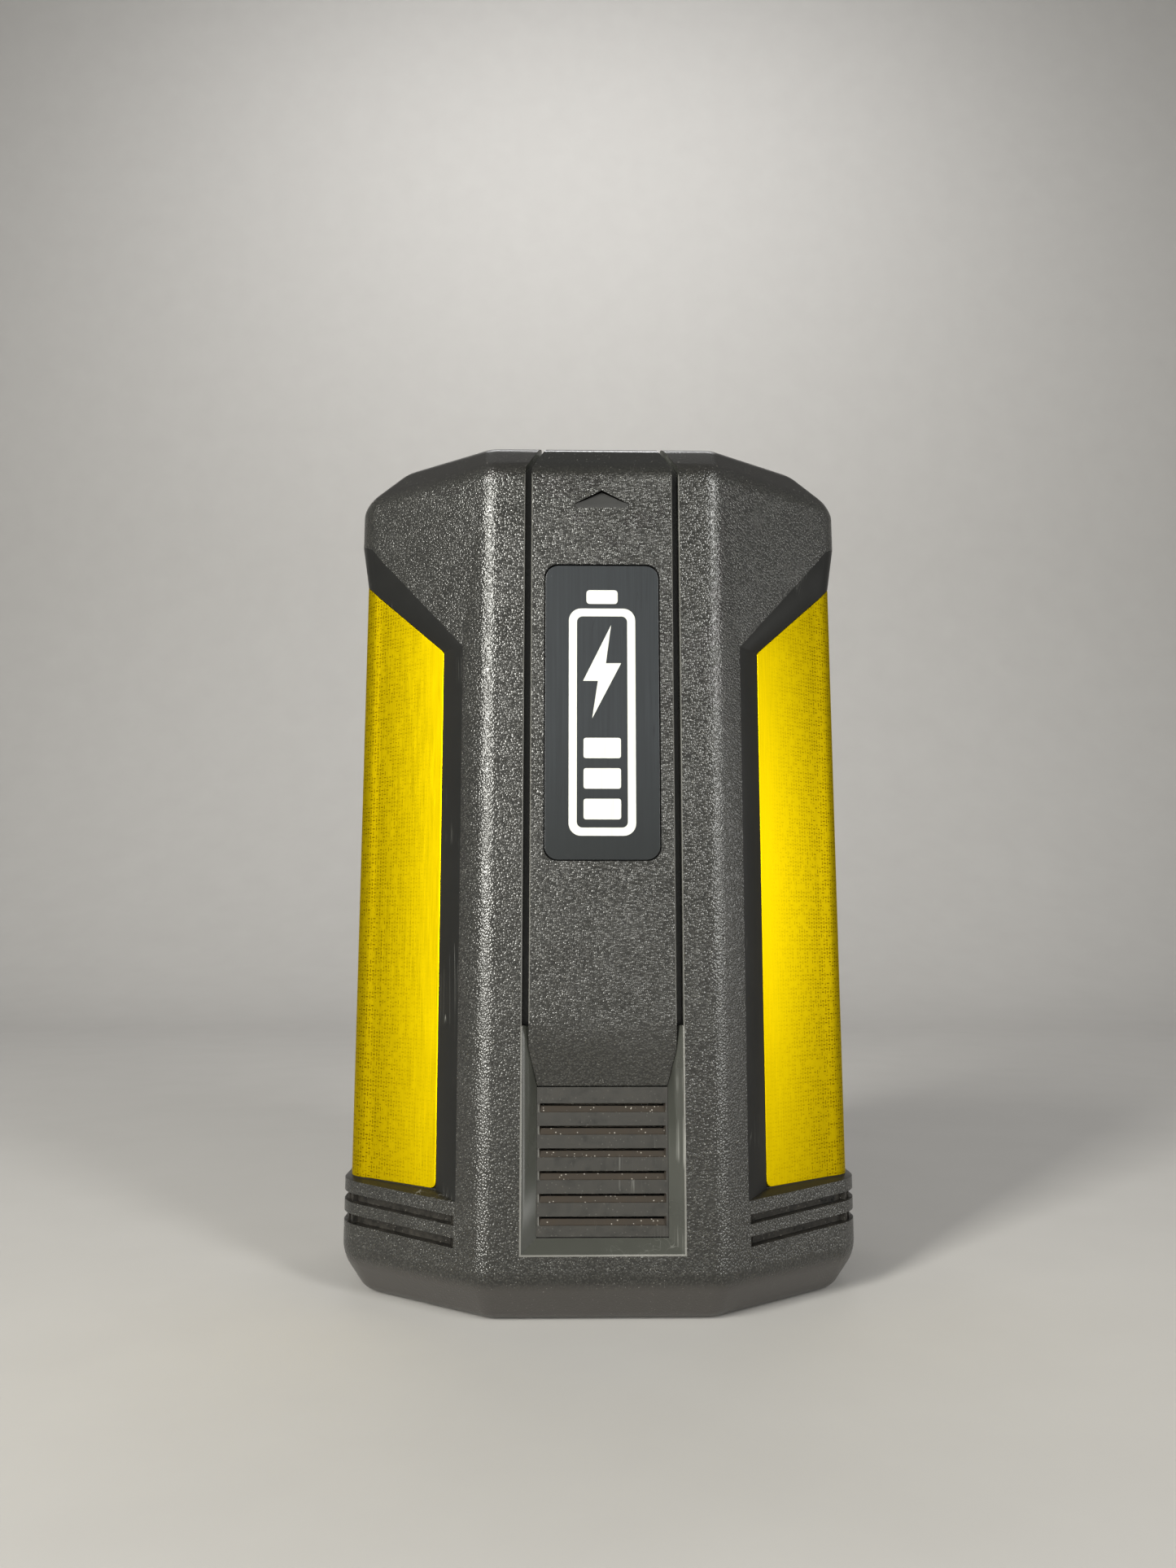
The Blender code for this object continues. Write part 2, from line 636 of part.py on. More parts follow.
def stroke_outline(points, width):
    """Outline of a bent strip of constant width, with its ends carried past the last points."""
    path = [Vector(point) for point in points]
    path[0] = path[0] + (path[0] - path[1]).normalized() * STRIP_END
    path[-1] = path[-1] + (path[-1] - path[-2]).normalized() * STRIP_END
    left = []
    right = []
    for i, point in enumerate(path):
        into = (point - path[i - 1]).normalized() if i else (path[1] - path[0]).normalized()
        out = (path[i + 1] - point).normalized() if i < len(path) - 1 else into
        mean = (into + out).normalized()
        across = Vector((-mean.y, mean.x)) * (width / 2) / max(0.5, mean.dot(into))
        left.append(tuple(point + across))
        right.append(tuple(point - across))
    return left + right[::-1]


def make_links(look):
    """Left strips join groups 1-2, 3-4 and so on; right strips join 2-3, 4-5 and both free ends."""
    for side, word, first in ((-1, "left", 0), (1, "right", -1)):
        number = 0
        for start in range(first, len(GROUPS), 2):
            cells = [cell for i in (start, start + 1) if 0 <= i < len(GROUPS) for cell in GROUPS[i]]
            number += 1
            outline = stroke_outline([cell_centre(*cell) for cell in cells], STRIP_WIDTH)
            reach = sorted((side * (CELL_HALF + 0.15), side * (CELL_HALF + 0.15 + LINK_THICK)))
            profile_bar(f"link_{word}_{number}", outline, reach, look)


def make_lead(name, side, look):
    """Insulated lead from the management board up behind the cells to the terminal block."""
    curve = bpy.data.curves.new(name, "CURVE")
    curve.dimensions = "3D"
    curve.bevel_depth = 1.05 * MM
    curve.bevel_resolution = 1
    curve.use_fill_caps = True
    route = curve.splines.new("POLY")
    stops = [(30.0, 66.0, 13.5), (30.0, 74.5, 14.0), (30.0, 77.2, 17.0), (30.0, 77.6, 24.0),
             (30.0, 77.6, 112.0), (27.0, 77.6, 117.0), (16.0, 77.6, 120.0), (15.0, 77.7, 125.6)]
    route.points.add(len(stops) - 1)
    for point, (x, depth, z) in zip(route.points, stops):
        point.co = (*place(side * x, depth, z), 1.0)
    source = bpy.data.objects.new(name + "_route", curve)
    CUTTERS.objects.link(source)
    bpy.context.view_layer.update()
    mesh = bpy.data.meshes.new_from_object(source)
    bpy.data.objects.remove(source, do_unlink=True)
    work = bmesh.new()
    work.from_mesh(mesh)
    bmesh.ops.remove_doubles(work, verts=work.verts, dist=0.01 * MM)
    bmesh.ops.recalc_face_normals(work, faces=work.faces)
    work.to_mesh(mesh)
    work.free()
    mesh.materials.clear()
    return add_object(name, mesh, look)


def make_screws(look):
    for side, word in ((1, "right"), (-1, "left")):
        for z, level in zip(BOSS_Z, ("lower", "upper")):
            centre = (side * BOSS_X, z)
            screw = rod(f"screw_{level}_{word}", "depth", centre, 3.0, (62.3, 65.0), 12, look)
            combine(screw, rod(f"shank_{level}_{word}", "depth", centre, 1.5, (35.0, 63.0), 8), "UNION")
            combine(screw, rod(f"drive_{level}_{word}", "depth", centre, 1.3, (63.6, 67.0), 6))


def build():
    looks = {
        "case": material("case_plastic", (0.045, 0.045, 0.043), 0.55),
        "strip": material("strip_plastic", (0.05, 0.05, 0.047), 0.5),
        "vent": material("vent_plastic", (0.03, 0.03, 0.029), 0.5),
        "rear": material("rear_plastic", (0.04, 0.04, 0.039), 0.6),
        "panel": material("panel_lime", (0.72, 0.6, 0.02), 0.3),
        "label": material("label_film", (0.035, 0.04, 0.045), 0.35),
        "baffle": material("baffle_plastic", (0.05, 0.042, 0.035), 0.8),
        "holder": material("holder_plastic", (0.12, 0.12, 0.13), 0.6),
        "terminal": material("terminal_plastic", (0.02, 0.02, 0.02), 0.5),
        "contact": material("contact_metal", (0.8, 0.62, 0.35), 0.25, 1.0),
        "link": material("link_nickel", (0.7, 0.7, 0.68), 0.3, 1.0),
        "metal": material("switch_steel", (0.6, 0.6, 0.6), 0.3, 1.0),
        "screw": material("screw_steel", (0.35, 0.35, 0.36), 0.35, 1.0),
        "board": material("board_laminate", (0.02, 0.16, 0.07), 0.5),
        "cell": material("cell_sleeve", (0.05, 0.2, 0.45), 0.35),
        "window": material("window_clear", (0.75, 0.78, 0.78), 0.15),
        "button": material("button_plastic", (0.09, 0.09, 0.09), 0.45),
        "foam": material("pad_foam", (0.03, 0.03, 0.03), 0.9),
        "red": material("lead_red", (0.5, 0.02, 0.02), 0.45),
        "black": material("lead_black", (0.02, 0.02, 0.02), 0.45)}
    make_front_shell(looks["case"])
    make_rear_shell(looks["rear"])
    make_strip(looks["strip"])
    make_louvre(looks["vent"])
    plate("label_plate", rounded_label(PANEL_CLEAR), (LABEL_RECESS - 0.05 - LABEL_THICK, LABEL_RECESS - 0.05),
          looks["label"])
    edge = panel_edge()
    faces = [panel_offset(s) for s, _, _ in PANEL_EDGE]
    backs = [face + PANEL_THICK for face in faces]
    for side, word in ((1, "right"), (-1, "left")):
        flank_solid(word + "_flank_panel", edge, edge, faces, backs, side, looks["panel"])
    block("vent_baffle", (-14.0, 14.0), (9.4, 10.6), (12.5, 46.0), looks["baffle"])
    make_terminals(looks["terminal"], looks["contact"])
    make_gauge(looks)
    block("management_board", (-40.0, 40.0), (21.0, 69.0), (10.0, 11.6), looks["board"])
    make_cells(looks["cell"])
    make_holder("cell_holder_left", -1, looks["holder"])
    make_holder("cell_holder_right", 1, looks["holder"])
    make_links(looks["link"])
    make_lead("lead_positive", -1, looks["red"])
    make_lead("lead_negative", 1, looks["black"])
    make_screws(looks["screw"])
    block("top_pad", (-30.0, 30.0), (20.0, 72.0), (177.0, 178.5), looks["foam"])


build()
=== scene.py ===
"""Looks for the slide-in battery pack: finer housings, grained plastic, lacquered panels, label and vents.

Lengths are in millimetres until place(), which turns them into metres in the CAD frame: x to the right,
depth back from the flat front face, z up from the flat bottom.
"""
import math

import bmesh
import bpy
from mathutils import Matrix, Vector


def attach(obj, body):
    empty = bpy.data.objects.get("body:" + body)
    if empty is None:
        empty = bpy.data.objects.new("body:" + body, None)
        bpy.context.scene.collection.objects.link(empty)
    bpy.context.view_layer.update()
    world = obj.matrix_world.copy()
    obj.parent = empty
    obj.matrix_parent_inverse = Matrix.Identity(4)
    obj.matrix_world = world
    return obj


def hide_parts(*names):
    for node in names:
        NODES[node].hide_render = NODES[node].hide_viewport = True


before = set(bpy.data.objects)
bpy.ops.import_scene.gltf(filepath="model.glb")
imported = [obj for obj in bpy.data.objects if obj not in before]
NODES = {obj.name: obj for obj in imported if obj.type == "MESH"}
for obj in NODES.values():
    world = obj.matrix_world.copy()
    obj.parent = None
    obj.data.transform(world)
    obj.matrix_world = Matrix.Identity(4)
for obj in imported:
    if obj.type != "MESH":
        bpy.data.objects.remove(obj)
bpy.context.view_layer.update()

MM = 0.001
DEPTH = 88.0
HEIGHT = 183.0
CASE_BACK = 82.0
HALF_WIDTH = 56.0
FOOT_TOP = 8.3
SHOULDER = HEIGHT - 7.0
DRAFT = 0.9  # how far each side leans in from the foot to the shoulder
PARTING = 46.0
GAP = 0.3
CHAMFER = 0.2

# The front flat, its angled flanks, and stations along a flank from the ridge.
HALF_FLAT = 24.1
FLANK_SLOPE = 0.717
FLANK_ANGLE = math.atan(FLANK_SLOPE)
CORNER_RADIUS = 9.0
FACET_END = 33.4
BLEND = 6.0

# Centre strip, its ramp and the vent channel.
GROOVE_OUTER = 16.4
GROOVE_TURN = 176.4
STRIP_HALF = 15.0
STRIP_THICK = 4.0
RAMP_TOP = 58.5
RAMP_LOW = 46.0
RAMP_DEPTH = 3.0
CHANNEL_LOW = 13.9
FLOOR_HALF = 13.4
FLOOR_LOW = 16.4
CHEVRON_FOOT = 167.3
CHEVRON_TIP = 171.2
CHEVRON_DEPTH = 0.9

# Louvre slots.
VENT_SLOTS = 6
VENT_FIRST = 18.9
VENT_PITCH = 4.43
VENT_TALL = 1.75
VENT_HALF = 12.8
AIR_HALF = 12.5
AIR_TALL = 0.6
OPENING_HALF = 12.7

# Label plate and its mark.
LABEL_HALF = 12.1
LABEL_LOW = 91.9
LABEL_HIGH = 154.7

# Pockets and panels: (station along the flank, height) pairs for their edges.
POCKET_START = 6.8
POCKET_END = 58.5
PANEL_START = 14.1
PANEL_END = 55.0
POCKET_LOW = ((6.8, 23.3), (20.0, 23.6), (33.4, 24.0), (39.1, 24.2), (58.5, 24.2))
POCKET_HIGH = ((6.8, 137.9), (33.4, 163.1), (36.2, 164.8), (39.1, 166.0), (41.95, 166.6), (58.5, 166.6))
PANEL_HIGH = ((14.1, 138.0), (33.4, 153.0), (36.2, 154.9), (39.1, 156.5), (41.95, 157.8), (55.0, 157.8))
PANEL_LOW = 24.5
PANEL_THICK = 1.15
POCKET_DEPTH = 2.3
POCKET_SIDE_DEPTH = 1.4
POCKET_OVERSHOOT = 1.2
SEAT_OVERLAP = 0.3
SEAT_DEPTH = 1.3

# Two wrap-round slots on each flank, with upright ribs in them on the side.
SLOT_START = 7.2
SLOT_END = 55.0
SLOT_LEVELS = ((18.7, 20.6), (14.3, 16.3))
SLOT_RISE_LENGTH = 33.0
SLOT_DEPTH = 2.0
RIB_START = 37.0
RIB_PITCH = 2.6
RIB_DEPTH = 0.8

# Rear: screws, rail and charge gauge.
SCREW_X = 44.0
SCREW_LEVELS = (("lower", 38.0), ("upper", 146.0))
RAIL_HALF = 32.0
GAUGE_Z = 23.4
BUTTON_Z = 15.0

# Camera.
CAMERA_AT = (-7.1, -242.7, 77.0)
CAMERA_PITCH = 0.126
CAMERA_YAW = 0.017
FOCAL_SHARE = 1450.0 / 1927.0

PAINTED_HIGHLIGHT_AND_RIM = ("painted_highlight_edge", "label_rim")  # materials whose edges stay unbevelled: the painted-highlight edge and the label rim


def place(x, depth, z):
    return Vector((x, depth - DEPTH / 2, z)) * MM


# ---------------------------------------------------------------- materials

def new_material(name):
    made = bpy.data.materials.new(name)
    made.use_nodes = True
    return made, made.node_tree, made.node_tree.nodes["Principled BSDF"]


def add_node(tree, kind, **settings):
    node = tree.nodes.new("ShaderNode" + kind)
    for key, value in settings.items():
        if key in node.inputs:
            node.inputs[key].default_value = value
        else:
            setattr(node, key, value)
    return node


def link(tree, source, target):
    tree.links.new(source, target)


def coordinates(tree, scale=(1, 1, 1), turn=(0, 0, 0)):
    """Object coordinates, scaled and turned."""
    place_node = add_node(tree, "TexCoord")
    mapping = add_node(tree, "Mapping")
    mapping.inputs["Scale"].default_value = scale
    mapping.inputs["Rotation"].default_value = turn
    link(tree, place_node.outputs["Object"], mapping.inputs["Vector"])
    return mapping.outputs["Vector"]


def noise(tree, vector, scale, detail=4.0, rough=0.55, distortion=0.0):
    node = add_node(tree, "TexNoise", Scale=scale, Detail=detail, Roughness=rough, Distortion=distortion)
    link(tree, vector, node.inputs["Vector"])
    return node.outputs["Fac"]


def voronoi(tree, vector, scale, feature="F1", smooth=0.3):
    node = add_node(tree, "TexVoronoi", feature=feature)
    node.inputs["Scale"].default_value = scale
    if feature == "SMOOTH_F1":
        node.inputs["Smoothness"].default_value = smooth
    link(tree, vector, node.inputs["Vector"])
    return node.outputs["Distance"]


def remap(tree, value, low, high, out_low=0.0, out_high=1.0):
    node = add_node(tree, "MapRange")
    for key, number in (("From Min", low), ("From Max", high), ("To Min", out_low), ("To Max", out_high)):
        node.inputs[key].default_value = number
    link(tree, value, node.inputs["Value"])
    return node.outputs["Result"]


def maths(tree, operation, first, second):
    node = add_node(tree, "Math", operation=operation)
    for socket, value in zip(node.inputs, (first, second)):
        if isinstance(value, (int, float)):
            socket.default_value = value
        else:
            link(tree, value, socket)
    return node.outputs["Value"]


def mix_colour(tree, factor, first, second):
    node = add_node(tree, "Mix", data_type="RGBA")
    if isinstance(factor, (int, float)):
        node.inputs[0].default_value = factor
    else:
        link(tree, factor, node.inputs[0])
    for index, value in ((6, first), (7, second)):
        if isinstance(value, tuple):
            node.inputs[index].default_value = (*value, 1.0)
        else:
            link(tree, value, node.inputs[index])
    return node.outputs[2]


def bump(tree, height, strength, distance, under=None):
    node = add_node(tree, "Bump", Strength=strength, Distance=distance * MM)
    link(tree, height, node.inputs["Height"])
    if under is not None:
        link(tree, under, node.inputs["Normal"])
    return node.outputs["Normal"]


def scratches(tree, scale, turn, width=0.012, density=0.62):
    """Thin straight scratches: a stretched noise kept only where it crosses its middle value."""
    vector = coordinates(tree, (scale, scale, scale * 0.035), turn)
    fine = noise(tree, vector, 1.0, 0.0, 0.5, 0.4)
    line = maths(tree, "ABSOLUTE", maths(tree, "SUBTRACT", fine, 0.5), 0.0)
    thin = remap(tree, line, 0.0, width, 1.0, 0.0)
    patches = remap(tree, noise(tree, coordinates(tree), 55.0, 2.0), density, density + 0.06)
    return maths(tree, "MULTIPLY", thin, patches)


def grained(name, colour, cell=1650.0, depth=0.09, rough=0.3, worn=0.25, calm_with_painted_light=()):
    """Moulded pebble grain: small domes over shallow wrinkles, with fine dust and light wear.
    Painted shade darkens the hollows and painted highlights lighten the dome tops.

    Each entry of calm gives two heights, in metres, between which the grain fades to a smooth satin, the
    share of the grain that stays, the colour there and the roughness there. The colour there is painted
    light: painted shade on a top chamfer, a painted reflection of the floor on the bottom chamfer.
    """
    made, tree, shader = new_material(name)
    skin = coordinates(tree)
    domes = voronoi(tree, skin, cell, "SMOOTH_F1", 0.25)
    wrinkles = noise(tree, skin, cell * 0.8, 2.0, 0.5, 0.4)
    height = maths(tree, "ADD", remap(tree, domes, 0.05, 0.7, 1.0, 0.0),
                   maths(tree, "MULTIPLY", wrinkles, 0.8))
    cloud = noise(tree, skin, 38.0, 4.0, 0.6)
    specks = remap(tree, noise(tree, skin, 2600.0, 1.0), 0.7, 0.77)
    base = mix_colour(tree, cloud, tuple(c * 0.85 for c in colour), tuple(c * 1.15 for c in colour))
    # Painted shade: the low parts of the grain are darkened to half the colour.
    painted_grain_shade = remap(tree, height, 0.45, 1.0)
    base = mix_colour(tree, painted_grain_shade, tuple(c * 0.5 for c in colour), base)
    # Painted highlight: the dome tops are lightened towards 2.4 times the colour.
    painted_grain_highlight = remap(tree, height, 0.95, 1.5, 0.0, 0.6)
    base = mix_colour(tree, painted_grain_highlight, base, tuple(min(1.0, c * 2.4) for c in colour))
    uneven = remap(tree, noise(tree, skin, 120.0, 3.0), 0.3, 0.7, rough - 0.04, rough + 0.06)
    shown = height
    split = add_node(tree, "SeparateXYZ")
    link(tree, skin, split.inputs["Vector"])
    for start, end, rest, tint, smoothness in calm_with_painted_light:
        reach = remap(tree, split.outputs["Z"], start, end)
        shown = maths(tree, "MULTIPLY", shown, remap(tree, split.outputs["Z"], start, end, 1.0, rest))
        # The zone's colour is painted light: painted shade at a top chamfer, a painted floor reflection at
        # the foot.
        base = mix_colour(tree, reach, base, tint)
        level = add_node(tree, "Mix", data_type="FLOAT")
        link(tree, reach, level.inputs[0])
        link(tree, uneven, level.inputs[2])
        level.inputs[3].default_value = smoothness
        uneven = level.outputs[0]
    base = mix_colour(tree, maths(tree, "MULTIPLY", specks, worn), base, (0.36, 0.35, 0.32))
    mark = scratches(tree, 900.0, (0.2, 0.9, 0.5))
    base = mix_colour(tree, maths(tree, "MULTIPLY", mark, 0.5 * worn), base, (0.3, 0.3, 0.29))
    link(tree, base, shader.inputs["Base Color"])
    link(tree, uneven, shader.inputs["Roughness"])
    link(tree, bump(tree, shown, 1.0, depth), shader.inputs["Normal"])
    shader.inputs["Specular IOR Level"].default_value = 0.65
    return made


def smooth_plastic(name, colour, rough, dust=0.0, scuff=0.3, specular=0.5, texture=0.012, dust_colour=None):
    """Smoother moulding: a slight orange-peel, scuffs, and dust where it is asked for."""
    made, tree, shader = new_material(name)
    plain = coordinates(tree)
    peel = noise(tree, plain, 900.0, 2.0)
    normal = bump(tree, peel, 0.5, texture)
    cloud = noise(tree, plain, 60.0, 4.0, 0.6)
    base = mix_colour(tree, cloud, tuple(c * 0.8 for c in colour), tuple(c * 1.25 for c in colour))
    mark = maths(tree, "MAXIMUM", scratches(tree, 700.0, (0.1, 0.5, 0.2)),
                 scratches(tree, 500.0, (0.4, -0.7, 0.9), 0.01, 0.6))
    base = mix_colour(tree, maths(tree, "MULTIPLY", mark, scuff), base, (0.32, 0.32, 0.3))
    rough_value = remap(tree, cloud, 0.3, 0.7, rough - 0.04, rough + 0.06)
    rough_value = maths(tree, "ADD", rough_value, maths(tree, "MULTIPLY", mark, 0.25))
    if dust:
        tint = dust_colour or (0.2, 0.17, 0.13)
        film = remap(tree, noise(tree, plain, 420.0, 6.0, 0.7), 0.32, 0.75)
        flecks = remap(tree, voronoi(tree, plain, 1100.0), 0.17, 0.11)
        base = mix_colour(tree, maths(tree, "MULTIPLY", film, dust), base, tint)
        base = mix_colour(tree, maths(tree, "MULTIPLY", flecks, dust), base, (0.55, 0.52, 0.47))
        rough_value = maths(tree, "MAXIMUM", rough_value, remap(tree, film, 0.0, 1.0, rough, 0.85))
    link(tree, base, shader.inputs["Base Color"])
    link(tree, rough_value, shader.inputs["Roughness"])
    link(tree, normal, shader.inputs["Normal"])
    shader.inputs["Specular IOR Level"].default_value = specular
    return made


def basket(tree, across, upright, pitch):
    """Basket of short dashes: upright in even squares and level in odd ones."""
    cells = []
    offsets = []
    for value in (across, upright):
        steps = maths(tree, "DIVIDE", value, pitch * MM)
        cells.append(maths(tree, "FLOOR", steps, 0.0))
        centred = maths(tree, "SUBTRACT", maths(tree, "FRACT", steps, 0.0), 0.5)
        offsets.append(maths(tree, "ABSOLUTE", centred, 0.0))
    odd = maths(tree, "MULTIPLY", maths(tree, "FRACT", maths(
        tree, "MULTIPLY", maths(tree, "ADD", cells[0], cells[1]), 0.5), 0.0), 2.0)
    beside = maths(tree, "ADD", maths(tree, "MULTIPLY", offsets[1], odd), maths(
        tree, "MULTIPLY", offsets[0], maths(tree, "SUBTRACT", 1.0, odd)))
    along = maths(tree, "ADD", maths(tree, "MULTIPLY", offsets[0], odd), maths(
        tree, "MULTIPLY", offsets[1], maths(tree, "SUBTRACT", 1.0, odd)))
    return maths(tree, "MULTIPLY", remap(tree, beside, 0.1, 0.19, 1.0, 0.0),
                 remap(tree, along, 0.42, 0.5, 1.0, 0.0))


def lacquered_panel(name, side):
    """Lime-yellow metallic lacquer, brushed upright, with a basket pattern that fades to the inner edge,
    and painted shade on the outer part towards the side and on the low end.
    """
    made, tree, shader = new_material(name)
    place_node = add_node(tree, "TexCoord")
    split = add_node(tree, "SeparateXYZ")
    link(tree, place_node.outputs["Object"], split.inputs["Vector"])
    outward = maths(tree, "MULTIPLY", split.outputs["X"], float(side))
    across = maths(tree, "ADD", outward, maths(tree, "MULTIPLY", split.outputs["Y"], FLANK_SLOPE))
    broken = remap(tree, noise(tree, coordinates(tree), 700.0, 1.0), 0.4, 0.5)
    lines = maths(tree, "MULTIPLY", basket(tree, across, split.outputs["Z"], 0.95), broken)
    outer = remap(tree, outward, 0.036, 0.0515)
    foot = remap(tree, split.outputs["Z"], 0.08, 0.025, 0.0, 0.6)
    fade = maths(tree, "MAXIMUM", outer, maths(tree, "MULTIPLY", foot, remap(tree, outward, 0.03, 0.048)))
    pattern = maths(tree, "MULTIPLY", lines, fade)
    brushed = noise(tree, coordinates(tree, (1.0, 1.0, 0.03)), 3200.0, 3.0, 0.6)
    base = mix_colour(tree, remap(tree, brushed, 0.3, 0.7), (0.58, 0.42, 0.0006), (0.68, 0.5, 0.0008))
    # Painted shade: the outer part, turned towards the side, is darkened.
    base = mix_colour(tree, maths(tree, "MULTIPLY", outer, 0.85), base, (0.27, 0.195, 0.0005))
    # Painted shade: the panel is darker towards its low end.
    painted_low_shade = remap(tree, split.outputs["Z"], 0.06, 0.025, 0.0, 0.3)
    base = mix_colour(tree, painted_low_shade, base, (0.36, 0.25, 0.0005))
    base = mix_colour(tree, maths(tree, "MULTIPLY", pattern, 0.95), base, (0.12, 0.07, 0.0003))
    mark = scratches(tree, 800.0, (0.1, 0.12, 0.1), 0.008, 0.64)
    base = mix_colour(tree, maths(tree, "MULTIPLY", mark, 0.5), base, (0.22, 0.15, 0.004))
    link(tree, base, shader.inputs["Base Color"])
    link(tree, remap(tree, brushed, 0.3, 0.7, 0.38, 0.48), shader.inputs["Roughness"])
    normal = bump(tree, brushed, 0.2, 0.008)
    link(tree, bump(tree, lines, 0.15, -0.02, normal), shader.inputs["Normal"])
    shader.inputs["Specular IOR Level"].default_value = 0.05
    shader.inputs["Specular Tint"].default_value = (1.0, 0.9, 0.2, 1.0)
    shader.inputs["Metallic"].default_value = 0.75
    return made


def brushed_metal(name, colour, rough, metallic=1.0, scale=1500.0, scuff=0.3, axis=2):
    """Metal or metallic film, brushed along one axis."""
    made, tree, shader = new_material(name)
    stretch = [1.0, 1.0, 1.0]
    stretch[axis] = 0.015
    lines = noise(tree, coordinates(tree, stretch), scale, 4.0, 0.65)
    base = mix_colour(tree, lines, tuple(c * 0.8 for c in colour),
                      tuple(min(1.0, c * 1.15) for c in colour))
    mark = scratches(tree, 800.0, (0.3, 0.6, 0.2), 0.014, 0.55)
    base = mix_colour(tree, maths(tree, "MULTIPLY", mark, scuff), base,
                      tuple(c * 0.35 + 0.06 for c in colour))
    link(tree, base, shader.inputs["Base Color"])
    link(tree, remap(tree, lines, 0.3, 0.7, rough - 0.06, rough + 0.08), shader.inputs["Roughness"])
    link(tree, bump(tree, lines, 0.3, 0.01), shader.inputs["Normal"])
    shader.inputs["Metallic"].default_value = metallic
    return made


def label_film(name):
    """Dark brushed film under a clear skin, with fine hair scratches and a few torn spots."""
    made, tree, shader = new_material(name)
    plain = coordinates(tree)
    lines = noise(tree, coordinates(tree, (1.0, 1.0, 0.02)), 1900.0, 4.0, 0.65)
    base = mix_colour(tree, lines, (0.012, 0.0137, 0.0155), (0.028, 0.032, 0.036))
    hair = maths(tree, "MAXIMUM", scratches(tree, 420.0, (0.0, 1.1, 0.0), 0.01, 0.5),
                 scratches(tree, 520.0, (0.0, -0.55, 0.0), 0.01, 0.52))
    base = mix_colour(tree, maths(tree, "MULTIPLY", hair, 0.5), base, (0.004, 0.004, 0.005))
    torn = remap(tree, noise(tree, plain, 150.0, 5.0, 0.75), 0.69, 0.74)
    base = mix_colour(tree, maths(tree, "MULTIPLY", torn, 0.6), base, (0.13, 0.13, 0.13))
    split = add_node(tree, "SeparateXYZ")
    link(tree, plain, split.inputs["Vector"])
    # Painted shade: the film is darker towards its low end.
    painted_low_shade = remap(tree, split.outputs["Z"], 0.12, 0.09, 0.0, 0.75)
    base = mix_colour(tree, painted_low_shade, base, (0.008, 0.0095, 0.0095))
    link(tree, base, shader.inputs["Base Color"])
    link(tree, remap(tree, torn, 0.0, 1.0, 0.34, 0.6), shader.inputs["Roughness"])
    link(tree, bump(tree, maths(tree, "ADD", lines, maths(tree, "MULTIPLY", torn, 3.0)), 0.3, 0.02),
         shader.inputs["Normal"])
    shader.inputs["Metallic"].default_value = 0.25
    return made


# ---------------------------------------------------------------- geometry tools

def mesh_object(name, points, faces, material=None):
    mesh = bpy.data.meshes.new(name)
    mesh.from_pydata([tuple(p) for p in points], [], faces)
    work = bmesh.new()
    work.from_mesh(mesh)
    bmesh.ops.recalc_face_normals(work, faces=work.faces)
    work.to_mesh(mesh)
    work.free()
    made = bpy.data.objects.new(name, mesh)
    bpy.context.scene.collection.objects.link(made)
    if material:
        mesh.materials.append(material)
    return made


def loft(name, rings, material=None):
    """Closed skin through rings that all have the same number of points."""
    count = len(rings[0])
    points = [point for ring in rings for point in ring]
    faces = [tuple(range(count)), tuple(range(len(points) - count, len(points)))]
    for level in range(len(rings) - 1):
        low = level * count
        for i in range(count):
            j = (i + 1) % count
            faces.append((low + i, low + j, low + count + j, low + count + i))
    return mesh_object(name, points, faces, material)


def block(name, x_range, depth_range, z_range, material=None):
    (x0, x1), (d0, d1) = x_range, depth_range
    rings = [[place(x0, d0, z), place(x1, d0, z), place(x1, d1, z), place(x0, d1, z)] for z in z_range]
    return loft(name, rings, material)


def plate(name, outline, depth_range, material=None):
    return loft(name, [[place(x, depth, z) for x, z in outline] for depth in depth_range], material)


def profile_bar(name, outline, x_range, material=None):
    return loft(name, [[place(x, depth, z) for depth, z in outline] for x in x_range], material)


def turned(name, centre, profile, material, sides=48):
    """Closed round piece about an axis along depth, from (radius, depth) pairs."""
    rings = []
    for radius, depth in profile:
        rings.append([place(centre[0] + radius * math.cos(a), depth, centre[1] + radius * math.sin(a))
                      for a in (2 * math.pi * i / sides for i in range(sides))])
    return loft(name, rings, material)


def combine(target, other, operation="DIFFERENCE"):
    step = target.modifiers.new(operation.lower(), "BOOLEAN")
    step.operation = operation
    step.solver = "EXACT"
    step.object = other
    step.material_mode = "TRANSFER"
    return other


